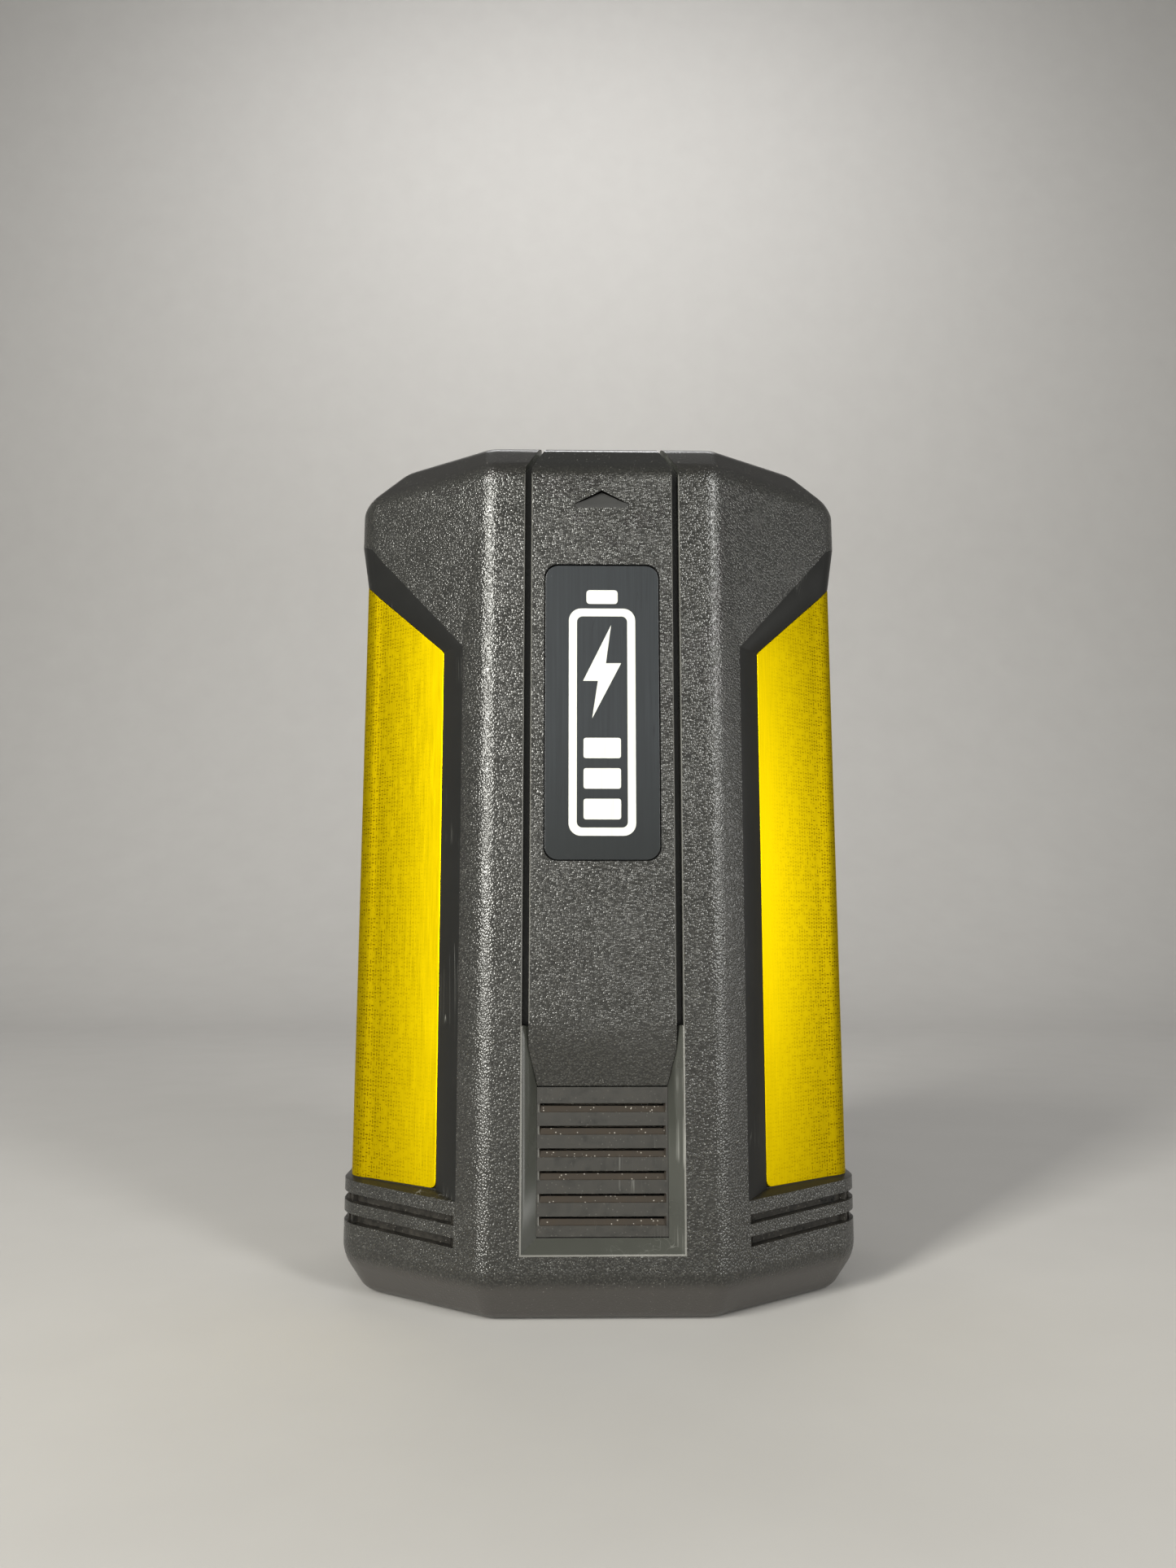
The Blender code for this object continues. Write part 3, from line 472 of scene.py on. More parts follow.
def settle(target, cutters=(), edge=0.0, edge_steps=2, sharp=32.0, shortest=1.0):
    """Apply the steps, drop the cutters, round the longer sharp edges a little and smooth the shading.

    Edges beside a chamfer with a painted highlight, or beside the label rim, stay as they are.
    """
    bpy.context.view_layer.update()
    graph = bpy.context.evaluated_depsgraph_get()
    mesh = bpy.data.meshes.new_from_object(target.evaluated_get(graph))
    target.modifiers.clear()
    target.data = mesh
    for cutter in cutters:
        bpy.data.objects.remove(cutter, do_unlink=True)
    work = bmesh.new()
    work.from_mesh(mesh)
    bmesh.ops.remove_doubles(work, verts=work.verts, dist=0.004 * MM)
    bmesh.ops.dissolve_degenerate(work, edges=work.edges, dist=0.004 * MM)
    limit = math.radians(sharp)
    if edge:
        bright = [i for i, slot in enumerate(mesh.materials) if slot and slot.name in PAINTED_HIGHLIGHT_AND_RIM]
        picked = [e for e in work.edges if e.is_manifold and e.calc_face_angle(0.0) > limit
                  and e.calc_length() > shortest * MM
                  and not any(face.material_index in bright for face in e.link_faces)]
        bmesh.ops.bevel(work, geom=picked, offset=edge * MM, offset_type="OFFSET", segments=edge_steps,
                        profile=0.5, affect="EDGES", clamp_overlap=True, material=-1)
    for face in work.faces:
        face.smooth = True
    for one in work.edges:
        one.smooth = not (one.is_manifold and one.calc_face_angle(0.0) > limit)
    work.to_mesh(mesh)
    work.free()
    step = target.modifiers.new("even_shading", "WEIGHTED_NORMAL")
    step.keep_sharp = True
    step.weight = 80
    return target


def rounded_outline(corners, radii, steps):
    """Round the corners of a closed outline; each corner gives steps + 1 points."""
    result = []
    for i, corner in enumerate(corners):
        here = Vector(corner)
        before = (Vector(corners[i - 1]) - here).normalized()
        after = (Vector(corners[(i + 1) % len(corners)]) - here).normalized()
        half_angle = before.angle(after) / 2
        centre = here + (before + after).normalized() * (radii[i] / math.sin(half_angle))
        reach = radii[i] / math.tan(half_angle)
        first = here + before * reach - centre
        last = here + after * reach - centre
        sweep = first.angle_signed(last)
        for step in range(steps[i] + 1):
            result.append(tuple(centre + Matrix.Rotation(-sweep * step / steps[i], 2) @ first))
    return result


# ---------------------------------------------------------------- the case

def case_ring(z, front=0.0, flank=0.0, side=0.0, back=0.0, radii=(6.0, 9.0, 12.0)):
    """Plan outline of the case at height z, each face moved inward by its own inset."""
    stretch = math.hypot(1.0, FLANK_SLOPE)
    side_x = HALF_WIDTH - side
    ridge_x = HALF_FLAT + (front - flank * stretch) / FLANK_SLOPE
    corner_depth = FLANK_SLOPE * (side_x - HALF_FLAT) + flank * stretch
    right = [(ridge_x, front), (side_x, corner_depth), (side_x, CASE_BACK - back)]
    corners = right + [(-x, depth) for x, depth in reversed(right)]
    ridge, corner, rear = radii
    outline = rounded_outline(corners, (ridge, corner, rear, rear, corner, ridge), (7, 12, 10, 10, 12, 7))
    return [place(x, depth, z) for x, depth in outline]


def case_solid(name, material=None):
    made = loft(name, [
        case_ring(0.0, 5.5, 5.2, 5.0, 5.0, (5.0, 7.0, 9.0)),
        case_ring(FOOT_TOP),
        case_ring(SHOULDER, side=DRAFT),
        case_ring(HEIGHT, 5.0, 4.0, 11.0 + DRAFT, 5.0, (5.0, 7.0, 8.0))], material)
    step = made.modifiers.new("rounding", "BEVEL")
    step.width = 2.4 * MM
    step.segments = 6
    step.limit_method = "ANGLE"
    step.angle_limit = math.radians(24.0)
    return made


def cavity(name, front, flank, side, back, material=None):
    radii = (3.0, 4.0, 6.0)
    return loft(name, [
        case_ring(3.2, front + 3.2, flank + 3.2, side + 3.2, back + 3.2, radii),
        case_ring(9.5, front, flank, side, back, radii),
        case_ring(173.0, front, flank, side + DRAFT, back, radii),
        case_ring(178.8, front + 3.2, flank + 3.2, side + DRAFT + 6.0, back + 3.2, radii)], material)


def flank_point(along, offset, z):
    """Plan position on the right flank at height z: the facet, the corner arc, then the drafted side."""
    turn = math.pi / 2 - FLANK_ANGLE
    side_x = HALF_WIDTH - DRAFT * (z - FOOT_TOP) / (SHOULDER - FOOT_TOP)
    straight = (side_x - HALF_FLAT) * math.hypot(1.0, FLANK_SLOPE) - CORNER_RADIUS * math.tan(turn / 2)
    swept = CORNER_RADIUS * turn
    heading = Vector((math.cos(FLANK_ANGLE), math.sin(FLANK_ANGLE)))
    inward = Vector((-math.sin(FLANK_ANGLE), math.cos(FLANK_ANGLE)))
    start = Vector((HALF_FLAT, 0.0)) + straight * heading
    centre = start + CORNER_RADIUS * inward
    if along <= straight:
        return start + (along - straight) * heading + offset * inward
    if along <= straight + swept:
        facing = FLANK_ANGLE + turn * (along - straight) / swept
        return centre + (CORNER_RADIUS - offset) * Vector((math.sin(facing), -math.cos(facing)))
    return centre + Vector((CORNER_RADIUS - offset, along - straight - swept))


def flank_solid(name, outer, inner, outer_offsets, inner_offsets, side, material=None):
    """Solid between two edges laid on the flank, with an offset for each station; side is 1 or -1."""
    rings = []
    for outer_edge, inner_edge, near, far in zip(outer, inner, outer_offsets, inner_offsets):
        outer_s, outer_low, outer_high = outer_edge
        inner_s, inner_low, inner_high = inner_edge
        ring = []
        for s, offset, z in ((outer_s, near, outer_low), (outer_s, near, outer_high),
                             (inner_s, far, inner_high), (inner_s, far, inner_low)):
            plan = flank_point(s, offset, z)
            ring.append(place(side * plan.x, plan.y, z))
        rings.append(ring)
    return loft(name, rings, material)


def along_line(points, s):
    """Straight-line reading of a list of (s, value) pairs."""
    for (s0, v0), (s1, v1) in zip(points, points[1:]):
        if s <= s1:
            return v0 + (v1 - v0) * (s - s0) / (s1 - s0)
    return points[-1][1]


def panel_offset(s):
    """Depth of the panel's face below the case: deeper on the facet than on the side."""
    share = min(1.0, max(0.0, (s - FACET_END) / BLEND))
    return POCKET_DEPTH + (POCKET_SIDE_DEPTH - POCKET_DEPTH) * share


def shares():
    """Even stations from 0 to 1 with extra ones near both ends."""
    return [0.0, 0.004, 0.012, 0.03] + [0.06 + 0.9 * i / 36 for i in range(37)] + [0.985, 1.0]


def pocket(side, material):
    flared = []
    inner = []
    floors = []
    for t in shares():
        outer_s = POCKET_START + t * (POCKET_END - POCKET_START)
        inner_s = PANEL_START + t * (PANEL_END - PANEL_START)
        low_in = (inner_s, PANEL_LOW, along_line(PANEL_HIGH, inner_s))
        low_out = (outer_s, along_line(POCKET_LOW, outer_s), along_line(POCKET_HIGH, outer_s))
        floors.append(panel_offset(inner_s))
        spread = 1.0 + POCKET_OVERSHOOT / floors[-1]
        inner.append(low_in)
        flared.append(tuple(b + (a - b) * spread for a, b in zip(low_out, low_in)))
    return flank_solid("pocket", flared, inner, [-POCKET_OVERSHOOT] * len(inner), floors, side, material)


def panel_edge(clear, low_radius, high_radius):
    """Edge of a flank panel, with its two inner corners rounded."""
    edge = []
    first = PANEL_START + clear
    last = PANEL_END - clear
    for t in shares():
        s = first + t * (last - first)
        into = s - first
        low = PANEL_LOW + clear
        high = along_line(PANEL_HIGH, s) - clear
        if into < low_radius:
            low += low_radius - math.sqrt(max(0.0, low_radius ** 2 - (low_radius - into) ** 2))
        if into < high_radius:
            high -= (high_radius - math.sqrt(max(0.0, high_radius ** 2 - (high_radius - into) ** 2))) * 0.5
        edge.append((s, low, high))
    return edge


def slot_cutters(side, material):
    """Two slots round the flank with upright ribs inside them on the side."""
    stations = [(SLOT_START, 0.15)]
    stations += [(s, SLOT_DEPTH) for s in (SLOT_START + 2.5, 20.0, FACET_END, 34.3, 35.2, 36.0)]
    start = RIB_START
    while start + RIB_PITCH < SLOT_END:
        stations += [(start - 0.1, SLOT_DEPTH), (start, RIB_DEPTH), (start + 1.0, RIB_DEPTH),
                     (start + 1.1, SLOT_DEPTH)]
        start += RIB_PITCH
    stations.append((SLOT_END, SLOT_DEPTH))
    made = []
    for low, high in SLOT_LEVELS:
        edge = []
        for s, _ in stations:
            rise = min(1.0, (s - SLOT_START) / SLOT_RISE_LENGTH)
            edge.append((s, low + rise, high + rise))
        made.append(flank_solid("slot", edge, edge, [-1.0] * len(edge), [d for _, d in stations], side,
                                material))
    return made


def strip_bar(name, thick, low, reach, lip, half, top_half, material, side_material):
    """The centre strip's L-shaped section, limited to its front outline."""
    profile = [(-1.0, low), (thick, low), (thick, HEIGHT - lip), (reach, HEIGHT - lip),
               (reach, HEIGHT + 1.0), (-1.0, HEIGHT + 1.0)]
    made = profile_bar(name, profile, (-half - 1.0, half + 1.0), material)
    high = HEIGHT + 1.0
    end_half = half - (half - top_half) / (HEIGHT - GROOVE_TURN) * (high - GROOVE_TURN)
    outline = [(half, low - 1.0), (half, GROOVE_TURN), (end_half, high), (-end_half, high),
               (-half, GROOVE_TURN), (-half, low - 1.0)]
    limit = combine(made, plate(name + "_limit", outline, (-2.0, reach + 1.0), side_material), "INTERSECT")
    bpy.context.view_layer.update()
    mesh = bpy.data.meshes.new_from_object(made.evaluated_get(bpy.context.evaluated_depsgraph_get()))
    made.modifiers.clear()
    made.data = mesh
    bpy.data.objects.remove(limit, do_unlink=True)
    return made


def flared_channel(name, floor, rise, low, high, inset, material):
    """Channel that narrows towards its floor; rise is how much its foot climbs with depth."""
    flare = (GROOVE_OUTER - FLOOR_HALF) / RAMP_DEPTH
    rings = []
    for depth in (-1.0, floor):
        half = GROOVE_OUTER - inset - flare * depth
        end = low + rise * depth
        corners = ((-half, end), (half, end), (half, high), (-half, high))
        rings.append([place(x, depth, z) for x, z in corners])
    return loft(name, rings, material)


def upright_chamfers(target, edge_x, outward, z_range, look):
    """Take the corner off both upright edges of a groove or a bar; the cut faces take the given look, a
    painted highlight.
    """
    used = []
    for side in (1, -1):
        near = Vector((edge_x + outward * (CHAMFER + 0.4), -0.4))
        far = Vector((edge_x - outward * 0.4, CHAMFER + 0.4))
        outline = [near, far, Vector((far.x, near.y))]
        rings = [[place(side * p.x, p.y, z) for p in outline] for z in z_range]
        used.append(combine(target, loft("upright_chamfer", rings, look)))
    return used


def channel_chamfer(target, look):
    """Take the corner off the vent channel's two sides and its foot in one flared cut; the cut faces take
    the given look, a painted highlight.
    """
    reach = 0.15
    side_slope = (CHAMFER + reach) / reach
    foot_slope = (CHAMFER + reach * (FLOOR_LOW - CHANNEL_LOW) / RAMP_DEPTH) / reach
    rings = []
    for depth in (-0.3, 0.26):
        half = GROOVE_OUTER + CHAMFER - side_slope * depth
        foot = CHANNEL_LOW - CHAMFER + foot_slope * depth
        corners = ((-half, foot), (half, foot), (half, RAMP_TOP - 0.13), (-half, RAMP_TOP - 0.13))
        rings.append([place(x, depth, z) for x, z in corners])
    return combine(target, loft("channel_chamfer", rings, look))


def mirror_right_half(target):
    step = target.modifiers.new("both_flanks", "MIRROR")
    step.use_axis = (True, False, False)
    step.use_bisect_axis = (True, False, False)
    step.use_clip = True
    step.merge_threshold = 0.00001


def build_front(looks):
    shell = case_solid("front_housing", looks["case"])
    inside = looks["inside"]
    polish = looks["polish"]
    used = [combine(shell, block("rear_waste", (-60, 60), (PARTING - GAP / 2, 95), (-5, 190), inside)),
            combine(shell, cavity("hollow", 5.5, 5.5, 5.5, 3.0, inside)),
            combine(shell, pocket(1, looks["bezel"]))]
    seat = panel_edge(0.0, 0.0, 0.0)
    floors = [panel_offset(s) for s, _, _ in seat]
    used.append(combine(shell, flank_solid("seat", seat, seat, [floor - SEAT_OVERLAP for floor in floors],
                                           [floor + SEAT_DEPTH for floor in floors], 1, inside)))
    for cutter in slot_cutters(1, looks["slot"]):
        used.append(combine(shell, cutter))
    mirror_right_half(shell)
    used.append(combine(shell, strip_bar("channel", STRIP_THICK + GAP, RAMP_TOP, 13.0, 2.3, GROOVE_OUTER,
                                         13.1, polish, polish)))
    foot_rise = (FLOOR_LOW - CHANNEL_LOW) / RAMP_DEPTH
    used.append(combine(shell, flared_channel("vent_channel", RAMP_DEPTH, foot_rise, CHANNEL_LOW, RAMP_TOP,
                                              0.0, polish)))
    used.append(combine(shell, flared_channel("ramp_channel", STRIP_THICK + GAP, 0.0, RAMP_LOW,
                                              RAMP_TOP + 0.5, 0.06, polish)))
    used += upright_chamfers(shell, GROOVE_OUTER, 1, (RAMP_TOP - 0.13, GROOVE_TURN - 0.13), looks["edge"])
    used.append(channel_chamfer(shell, looks["edge"]))
    used.append(combine(shell, block("louvre_seat", (-FLOOR_HALF + 0.06, FLOOR_HALF - 0.06), (2.5, 5.3),
                                     (FLOOR_LOW + 0.06, RAMP_LOW + 0.5), inside)))
    used.append(combine(shell, block("opening", (-OPENING_HALF, OPENING_HALF), (4.0, 9.0), (18.2, 43.6),
                                     inside)))
    settle(shell, used, 0.24, 2, 28.0, 1.5)
    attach(shell, "case")
    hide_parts("front_shell")


def build_strip(looks):
    strip = strip_bar("centre_strip_cover", STRIP_THICK, RAMP_LOW + GAP, 12.0, 2.0, STRIP_HALF, 11.7,
                      looks["strip"], looks["polish"])
    used = [combine(strip, case_solid("limit", looks["strip"]), "INTERSECT")]
    slope = RAMP_DEPTH / (RAMP_TOP - RAMP_LOW)
    ramp = [(-3.0, RAMP_TOP + 3.0 / slope), (RAMP_DEPTH + 1.2, RAMP_LOW - 1.2 / slope),
            (-3.0, RAMP_LOW - 1.2 / slope)]
    used.append(combine(strip, profile_bar("ramp", ramp, (-20, 20), looks["strip"])))
    for side in (1, -1):
        near, far = (side * (GROOVE_OUTER - GAP - d) for d in (0.0, 5.0))
        outline = [(near, 0.0), (far, 5.0), (side * 20.0, 5.0), (side * 20.0, 0.0)]
        rings = [[place(x, depth, z) for x, depth in outline] for z in (RAMP_LOW - 2.0, RAMP_TOP + GAP)]
        used.append(combine(strip, loft("ramp_edge", rings, looks["polish"])))
    fall = CHEVRON_DEPTH / (CHEVRON_TIP - CHEVRON_FOOT)
    foot = CHEVRON_FOOT - 0.1
    outline = [(-6.0, 168.1), (-5.1, foot), (5.1, foot), (6.0, 168.1), (0.0, CHEVRON_TIP)]
    rings = [[place(x, -1.0, z) for x, z in outline],
             [place(x, fall * (z - CHEVRON_FOOT), z) for x, z in outline]]
    used.append(combine(strip, loft("chevron", rings, looks["chevron"])))
    # Painted shadow: thin near-black slits along the chevron's two upper edges.
    for side in (1, -1):
        arm = [(side * 6.2, 168.2), (side * 6.0, 167.9), (side * -0.05, 171.0), (side * -0.05, 171.3)]
        used.append(combine(strip, plate("chevron_gap_painted_shadow", arm, (0.3, 1.6), looks["gap"])))
    used.append(combine(strip, plate("label_recess", label_outline(0.0), (-1.0, 0.8), looks["rim"])))
    used += upright_chamfers(strip, STRIP_HALF, -1, (RAMP_TOP + 0.4, GROOVE_TURN - 0.17), looks["edge"])
    rim = [[place(x, depth, z) for x, z in label_outline(inset)]
           for depth, inset in ((-0.3, -0.42), (0.12, 0.0))]
    used.append(combine(strip, loft("label_rim", rim, looks["rim"])))
    settle(strip, used, 0.2, 2, 28.0, 1.2)
    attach(strip, "case")
    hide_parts("centre_strip")


def label_outline(inset, radius=2.8):
    half = LABEL_HALF - inset
    low = LABEL_LOW + inset
    high = LABEL_HIGH - inset
    corners = [(half, low), (half, high), (-half, high), (-half, low)]
    return rounded_outline(corners, (radius,) * 4, (10,) * 4)


def build_label(looks):
    """Dark plate with a generic battery-and-bolt mark in thin bright film."""
    label = plate("label_skin", label_outline(0.15), (0.25, 0.75), looks["label"])
    settle(label, (), 0.1, 2, 30.0, 0.2)
    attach(label, "case")
    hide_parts("label_plate")
    film = (0.22, 0.27)
    half, low, high, wall = 7.0, 97.0, 145.2, 1.7

    def body(inset, radius):
        return rounded_outline([(half - inset, low + inset), (half - inset, high - inset),
                                (-half + inset, high - inset), (-half + inset, low + inset)],
                               (radius,) * 4, (8,) * 4)

    case_mark = plate("mark_outline", body(0.0, 2.6), film, looks["mark"])
    hole = combine(case_mark, plate("mark_hole", body(wall, 1.2), (-1.0, 1.0), looks["mark"]))
    settle(case_mark, [hole], 0.0)
    pieces = [case_mark]
    cap = rounded_outline([(3.3, 146.2), (3.3, 149.2), (-3.3, 149.2), (-3.3, 146.2)], (0.7,) * 4, (5,) * 4)
    pieces.append(settle(plate("mark_cap", cap, film, looks["mark"])))
    bolt = [(1.9, 141.6), (-4.0, 129.6), (-0.9, 129.6), (-2.1, 121.6), (4.0, 133.4), (0.8, 133.4)]
    pieces.append(settle(plate("mark_bolt", bolt, film, looks["mark"])))
    for i in range(3):
        foot = 100.4 + i * 6.4
        bar = rounded_outline([(3.9, foot), (3.9, foot + 4.3), (-3.9, foot + 4.3), (-3.9, foot)],
                              (0.5,) * 4, (4,) * 4)
        pieces.append(settle(plate(f"mark_bar_{i + 1}", bar, film, looks["mark"])))
    for piece in pieces:
        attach(piece, "case")


def build_louvre(looks):
    """Bars over dusty sloping floors, each with a narrow air gap under the bar above; the gaps are lined
    with painted shadow and each slot's left end carries a painted highlight.
    """
    half = FLOOR_HALF - 0.12
    grille = block("vent_grille", (-half, half), (3.0, 5.0), (FLOOR_LOW + GAP, RAMP_LOW), looks["vent"])
    used = []
    for i in range(VENT_SLOTS):
        low = VENT_FIRST + i * VENT_PITCH
        high = low + VENT_TALL
        # Painted highlight: a light-coloured block at the left end of each slot.
        used.append(combine(grille, block("slot_end_painted_highlight", (-half + 0.1, -12.6), (2.0, 3.3), (low, high),
                                          looks["edge"])))
        floor = [(0.0, low), (0.0, high), (3.9, high), (3.9, high - 0.3), (3.35, low)]
        slot = profile_bar("slot", floor, (-VENT_HALF, VENT_HALF), looks["vent_dust"])
        used.append(combine(grille, slot))
        # Painted shadow: the air gap under each bar is lined near-black.
        gap = [(3.0, high - AIR_TALL), (3.0, high), (10.0, high), (10.0, high - AIR_TALL)]
        used.append(combine(grille, profile_bar("air_gap_painted_shadow", gap, (-AIR_HALF, AIR_HALF), looks["gap"])))
    settle(grille, used, 0.13, 2, 30.0, 1.0)
    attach(grille, "case")
    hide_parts("vent_louvre")


def build_panels(looks):
    for side, word in ((1, "right"), (-1, "left")):
        edge = panel_edge(0.15, 1.45, 0.8)
        faces = [panel_offset(s) for s, _, _ in edge]
        skin = flank_solid(word + "_panel_skin", edge, edge, faces, [face + PANEL_THICK for face in faces],
                           side, looks["panel_" + word])
        settle(skin, (), 0.16, 2, 40.0, 0.05)
        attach(skin, "case")
        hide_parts(word + "_flank_panel")


def build_rear(looks):
    shell = case_solid("rear_housing", looks["rear"])
    inside = looks["inside"]
    rail = block("rail", (-RAIL_HALF, RAIL_HALF), (CASE_BACK - 1.5, DEPTH), (38.0, 165.0), looks["rail"])
    step = rail.modifiers.new("rounding", "BEVEL")
    step.width = 1.2 * MM
    step.segments = 4
    used = [combine(shell, block("front_waste", (-60, 60), (-5, PARTING + GAP / 2), (-5, 190), inside)),
            combine(shell, cavity("hollow", 3.0, 3.0, 3.0, 3.0, inside)),
            combine(shell, rail, "UNION"),
            combine(shell, block("notch", (29.4, 34.0), (82.6, 85.2), (52.0, 167.0), looks["rail"]))]
    for _, z in SCREW_LEVELS:
        for radius, near, far, word in ((4.5, PARTING + GAP / 2, CASE_BACK - 1.0, "UNION"),
                                        (1.9, 40.0, 62.0, "DIFFERENCE"), (3.5, 60.0, 95.0, "DIFFERENCE")):
            bore = turned("bore", (SCREW_X, z), [(radius, near), (radius, far)], looks["rail"], 32)
            used.append(combine(shell, bore, word))
    mirror_right_half(shell)
    used.append(combine(shell, block("window", (-22, 22), (70, 95), (126.0, 163.4), looks["rail"])))
    used.append(combine(shell, block("entry", (-21, 21), (CASE_BACK + 0.5, 95), (160.0, 167.0),
                                     looks["rail"])))
    used.append(combine(shell, block("gauge", (-13, 13), (75, 90), (21.1, 25.7), looks["rail"])))
    used.append(combine(shell, turned("button_hole", (0.0, BUTTON_Z), [(4.25, 75), (4.25, 90)],
                                      looks["rail"])))
    settle(shell, used, 0.22, 2, 28.0, 1.2)
    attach(shell, "case")
    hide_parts("rear_shell")


def build_gauge(looks):
    half, tall = 12.7, 2.0
    window = block("gauge_lens", (-half, half), (78.0, 81.8), (GAUGE_Z - tall, GAUGE_Z + tall),
                   looks["lens"])
    flange = combine(window, block("lens_flange", (-half - 2, half + 2), (77.6, 78.7), (20.3, 26.5),
                                   looks["lens"]), "UNION")
    settle(window, [flange], 0.25, 3, 30.0, 1.0)
    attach(window, "case")
    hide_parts("gauge_window")
    for i in range(4):
        centre = (-9.0 + 6.0 * i, GAUGE_Z)
        rise = [(1.1, 81.75), (1.1, 81.85), (0.8, 81.9)]
        dot = turned(f"gauge_dot_{i + 1}", centre, rise, looks["dot"], 28)
        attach(settle(dot), "case")
    dome = [(4.9, 77.3), (4.9, 78.6), (4.0, 78.6), (4.0, 82.3), (3.9, 82.5), (3.7, 82.65), (3.3, 82.7),
            (2.6, 82.6), (1.4, 82.5), (0.4, 82.48)]
    button = settle(turned("push_button", (0.0, BUTTON_Z), dome, looks["button"]), (), 0.0, 2, 50.0)
    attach(button, "button")
    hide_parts("gauge_button")


def build_screws(looks):
    for side, word in ((1, "right"), (-1, "left")):
        for level, z in SCREW_LEVELS:
            centre = (side * SCREW_X, z)
            head = turned(f"screw_head_{level}_{word}", centre,
                          [(1.5, 35.0), (1.5, 62.3), (3.0, 62.3), (3.0, 64.4), (2.7, 64.9), (2.3, 65.0)],
                          looks["screw"])
            points = []
            for k in range(12):
                radius = 1.45 if k % 2 == 0 else 1.0
                angle = math.pi * k / 6
                points.append((centre[0] + radius * math.cos(angle), z + radius * math.sin(angle)))
            drive = combine(head, plate("drive", points, (63.4, 66.0), looks["screw"]))
            settle(head, [drive], 0.0, 2, 35.0)
            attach(head, "case")
            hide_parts(f"screw_{level}_{word}")


def dress_cad(looks):
    """Procedural finishes for the CAD pieces that show as they are, or sit inside the case."""
    groups = {"baffle": ["vent_baffle"], "terminal": ["terminal_block"],
              "contact": ["contact_positive", "contact_data", "contact_negative"],
              "board": ["gauge_board", "management_board"], "steel": ["gauge_switch"],
              "holder": ["cell_holder_left", "cell_holder_right", "switch_plunger"],
              "foam": ["top_pad"], "lead_red": ["lead_positive"], "lead_black": ["lead_negative"]}
    groups["cell"] = [n for n in NODES if n.startswith("cell_") and "holder" not in n]
    groups["link"] = [n for n in NODES if n.startswith("link_")]
    for look, names in groups.items():
        for name in names:
            NODES[name].data.materials.clear()
            NODES[name].data.materials.append(looks[look])


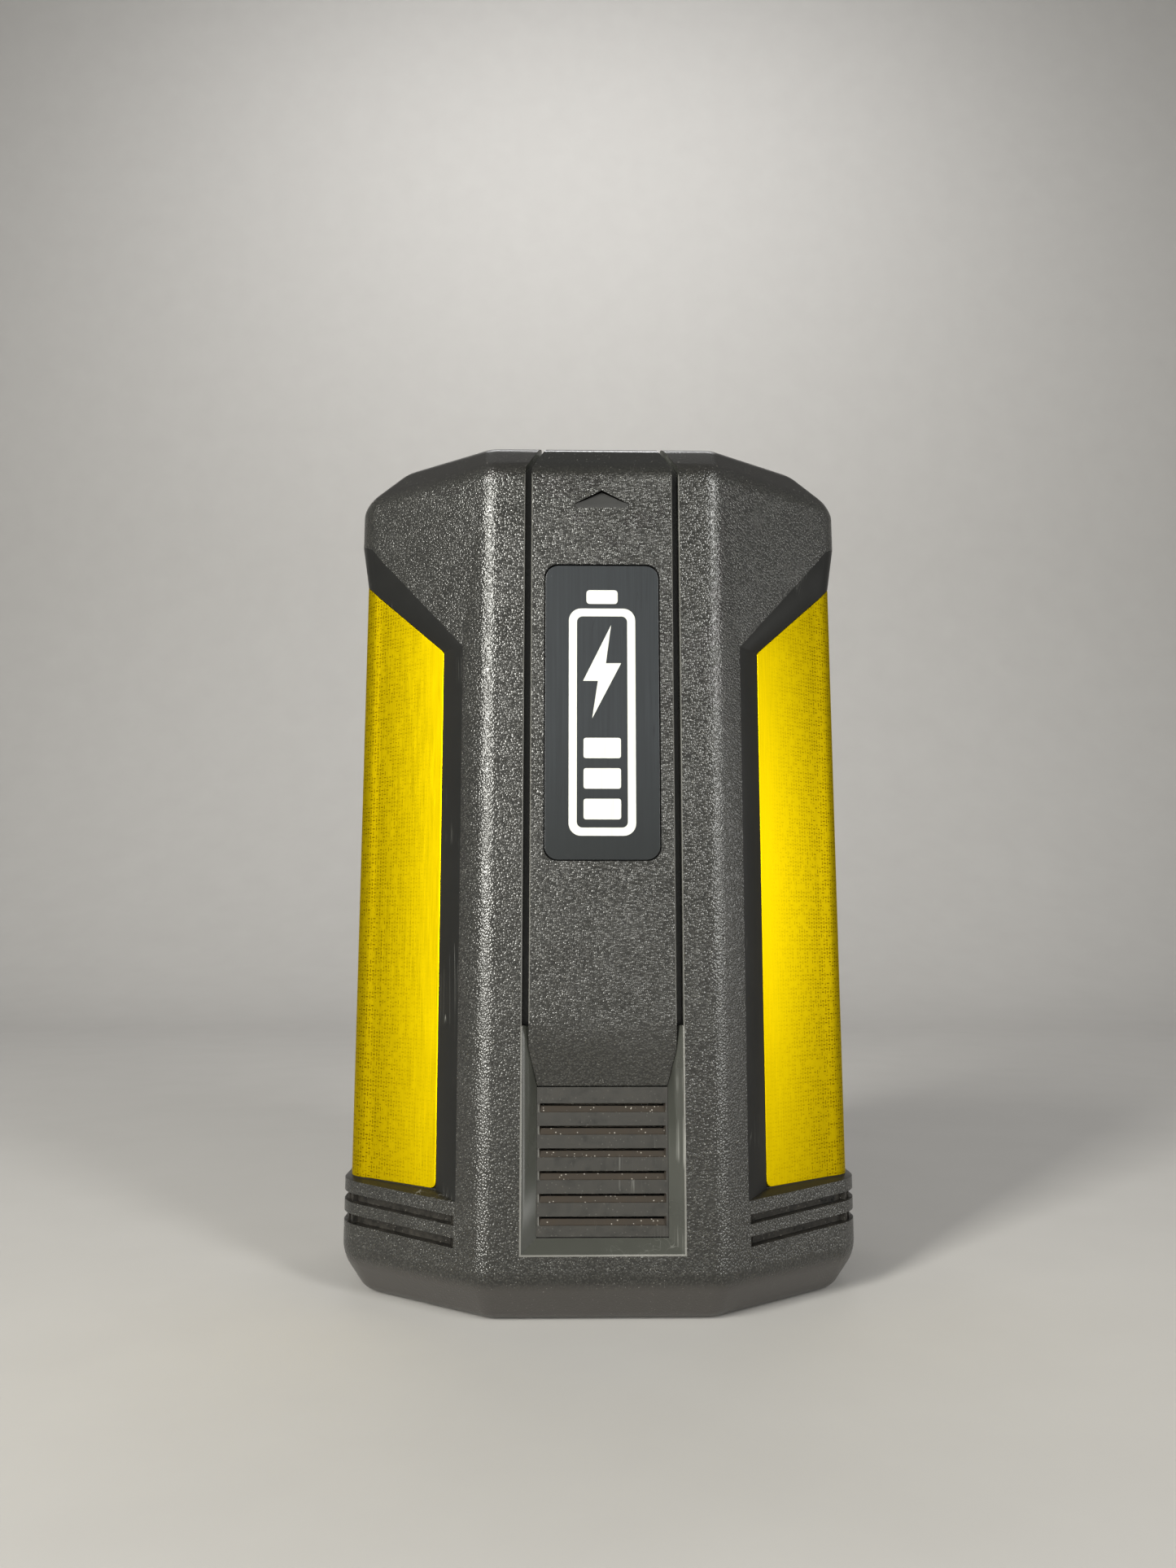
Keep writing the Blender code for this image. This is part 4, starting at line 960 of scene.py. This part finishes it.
def make_looks():
    charcoal = (0.0185, 0.0181, 0.0156)
    # Top chamfer: the grain fades to satin; its darker colour is painted shade.
    top_satin_painted_shade = (0.1745, 0.1775, 0.12, (0.011, 0.0105, 0.0098), 0.3)
    # Bottom chamfer: the grain softens; its lighter warm colour is a painted reflection of the floor.
    foot = (0.0088, 0.0068, 0.25, (0.034, 0.031, 0.028), 0.34)
    # Strip's top chamfer: the grain fades to satin; its darker colour is painted shade.
    strip_top_satin_painted_shade = (0.1745, 0.1775, 0.06, (0.012, 0.012, 0.0115), 0.14)
    return {
        "case": grained("case_grain", charcoal, 2300.0, 0.08, 0.24, 0.3, (top_satin_painted_shade, foot)),
        "strip": grained("strip_grain", charcoal, 2300.0, 0.08, 0.26, 0.2, (strip_top_satin_painted_shade,)),
        "rear": grained("rear_grain", charcoal, 1650.0, 0.1, 0.3, 0.2, (top_satin_painted_shade, foot)),
        "bezel": smooth_plastic("satin_bezel", (0.009, 0.009, 0.0085), 0.34, 0.0, 0.4, 0.16, 0.006),
        # Painted highlight: a light colour on thin chamfers and slot ends, standing in for light caught on
        # their edges.
        "edge": smooth_plastic("painted_highlight_edge", (0.1, 0.098, 0.09), 0.3, 0.0, 0.2, 0.6, 0.004),
        "rim": smooth_plastic("label_rim", (0.004, 0.004, 0.004), 0.5, 0.0, 0.1, 0.1, 0.004),
        # Painted shadow: near-black lining for slits and gaps where shade falls.
        "gap": smooth_plastic("painted_shadow_gap", (0.002, 0.002, 0.002), 0.9, 0.0, 0.0, 0.1, 0.004),
        "rail": smooth_plastic("rail_plastic", (0.035, 0.035, 0.034), 0.4, 0.0, 0.35),
        "polish": smooth_plastic("polished_groove", (0.034, 0.035, 0.03), 0.28, 0.0, 0.3, 0.5, 0.004),
        "chevron": smooth_plastic("chevron_floor", (0.018, 0.018, 0.0175), 0.5, 0.0, 0.1, 0.3),
        "inside": smooth_plastic("inside_plastic", (0.03, 0.03, 0.03), 0.5, 0.15, 0.1),
        "slot": smooth_plastic("slot_plastic", (0.006, 0.006, 0.0057), 0.22, 0.12, 0.3, 0.25),
        "vent": smooth_plastic("vent_bar_plastic", (0.015, 0.0145, 0.013), 0.42, 0.05, 0.2, 0.35, 0.05),
        "vent_dust": smooth_plastic("vent_dust", (0.016, 0.0125, 0.009), 0.6, 0.35, 0.1, 0.2, 0.02,
                                    (0.045, 0.033, 0.023)),
        "baffle": smooth_plastic("baffle_dust", (0.05, 0.042, 0.033), 0.7, 0.9, 0.1),
        "panel_right": lacquered_panel("panel_lacquer_right", 1),
        "panel_left": lacquered_panel("panel_lacquer_left", -1),
        "label": label_film("label_skin_film"),
        "mark": brushed_metal("mark_film", (0.56, 0.56, 0.52), 0.4, 0.35, 2600.0, 0.8),
        "terminal": smooth_plastic("terminal_moulding", (0.02, 0.02, 0.02), 0.45, 0.1, 0.3),
        "contact": brushed_metal("contact_plate", (0.86, 0.66, 0.36), 0.25),
        "link": brushed_metal("link_plate", (0.7, 0.7, 0.68), 0.3),
        "steel": brushed_metal("switch_case", (0.62, 0.62, 0.62), 0.3),
        "screw": brushed_metal("screw_black_steel", (0.18, 0.18, 0.18), 0.36, 1.0, 900.0),
        "board": smooth_plastic("board_mask", (0.02, 0.14, 0.07), 0.35, 0.0, 0.2),
        "holder": smooth_plastic("holder_moulding", (0.1, 0.1, 0.11), 0.5, 0.0, 0.2),
        "cell": smooth_plastic("cell_wrap", (0.05, 0.2, 0.42), 0.3, 0.0, 0.2),
        "foam": smooth_plastic("foam_cells", (0.025, 0.025, 0.025), 0.9, 0.0, 0.0, 0.3, 0.08),
        "lead_red": smooth_plastic("lead_skin_red", (0.45, 0.02, 0.02), 0.42, 0.0, 0.1),
        "lead_black": smooth_plastic("lead_skin_black", (0.02, 0.02, 0.02), 0.42, 0.0, 0.1),
        "lens": smooth_plastic("lens_smoke", (0.16, 0.17, 0.17), 0.16, 0.0, 0.3),
        "dot": smooth_plastic("lens_dot", (0.55, 0.57, 0.55), 0.3, 0.0, 0.1),
        "button": smooth_plastic("button_moulding", (0.07, 0.07, 0.07), 0.4, 0.0, 0.3),
    }


# ---------------------------------------------------------------- stage, light and camera

def build_stage():
    """One pale sweep: a floor that curves up into a backdrop."""
    made, tree, shader = new_material("sweep_paper")
    fine = noise(tree, coordinates(tree), 30.0, 4.0)
    base = mix_colour(tree, fine, (0.36, 0.349, 0.338), (0.39, 0.379, 0.368))
    link(tree, base, shader.inputs["Base Color"])
    shader.inputs["Roughness"].default_value = 0.75
    shader.inputs["Specular IOR Level"].default_value = 0.25
    profile = [(-2.5, 0.0), (0.7, 0.0)]
    profile += [(0.7 + 0.6 * math.sin(a), 0.6 - 0.6 * math.cos(a))
                for a in (math.pi / 2 * i / 12 for i in range(1, 13))]
    profile.append((1.3, 2.6))
    points = [(x, y, z) for y, z in profile for x in (-3.0, 3.0)]
    faces = [(2 * i, 2 * i + 1, 2 * i + 3, 2 * i + 2) for i in range(len(profile) - 1)]
    sweep = mesh_object("sweep", points, faces, made)
    for face in sweep.data.polygons:
        face.use_smooth = True


def area_light(name, location, aim, size, power, colour=(1.0, 1.0, 1.0)):
    data = bpy.data.lights.new(name, "AREA")
    data.shape = "RECTANGLE"
    data.size, data.size_y = size
    data.energy = power
    data.color = colour
    lamp = bpy.data.objects.new(name, data)
    bpy.context.scene.collection.objects.link(lamp)
    lamp.location = location
    lamp.rotation_euler = (Vector(aim) - Vector(location)).to_track_quat("-Z", "Y").to_euler()


def build_lights():
    middle = (0.0, 0.0, 0.09)
    area_light("left_softbox", (-0.62, -0.8, 0.42), middle, (0.2, 0.8), 22.0, (1.0, 0.99, 0.92))
    area_light("right_softbox", (0.62, -0.8, 0.42), middle, (0.2, 0.8), 9.5, (1.0, 1.0, 0.96))
    area_light("front_fill", (-0.42, -1.1, 0.3), middle, (0.35, 0.5), 0.8, (1.0, 0.99, 0.92))
    area_light("right_side", (0.95, -0.25, 0.13), (0.0, 0.0, 0.04), (0.3, 0.2), 1.2, (1.0, 0.99, 0.95))
    area_light("back_wash", (0.0, 0.62, 1.4), (0.0, 1.2, 0.5), (0.9, 0.4), 9.0)
    world = bpy.data.worlds.new("soft_room")
    bpy.context.scene.world = world
    world.use_nodes = True
    tree = world.node_tree
    background = tree.nodes["Background"]
    background.inputs["Color"].default_value = (0.98, 0.985, 0.96, 1.0)
    split = add_node(tree, "SeparateXYZ")
    link(tree, add_node(tree, "TexCoord").outputs["Generated"], split.inputs["Vector"])
    link(tree, remap(tree, split.outputs["Z"], 0.2, 0.9, 0.4, 0.13), background.inputs["Strength"])
    bpy.context.scene.view_settings.view_transform = "Standard"


def build_camera():
    data = bpy.data.cameras.new("view")
    data.lens = 36.0 * FOCAL_SHARE
    data.clip_start = 0.01
    camera = bpy.data.objects.new("view", data)
    bpy.context.scene.collection.objects.link(camera)
    camera.location = place(*CAMERA_AT)
    level = math.cos(CAMERA_PITCH)
    heading = Vector((math.sin(CAMERA_YAW) * level, math.cos(CAMERA_YAW) * level, math.sin(CAMERA_PITCH)))
    camera.rotation_euler = heading.to_track_quat("-Z", "Y").to_euler()
    bpy.context.scene.camera = camera


build_camera()
build_stage()
build_lights()
LOOKS = make_looks()
build_front(LOOKS)
build_strip(LOOKS)
build_label(LOOKS)
build_louvre(LOOKS)
build_panels(LOOKS)
build_rear(LOOKS)
build_gauge(LOOKS)
build_screws(LOOKS)
dress_cad(LOOKS)
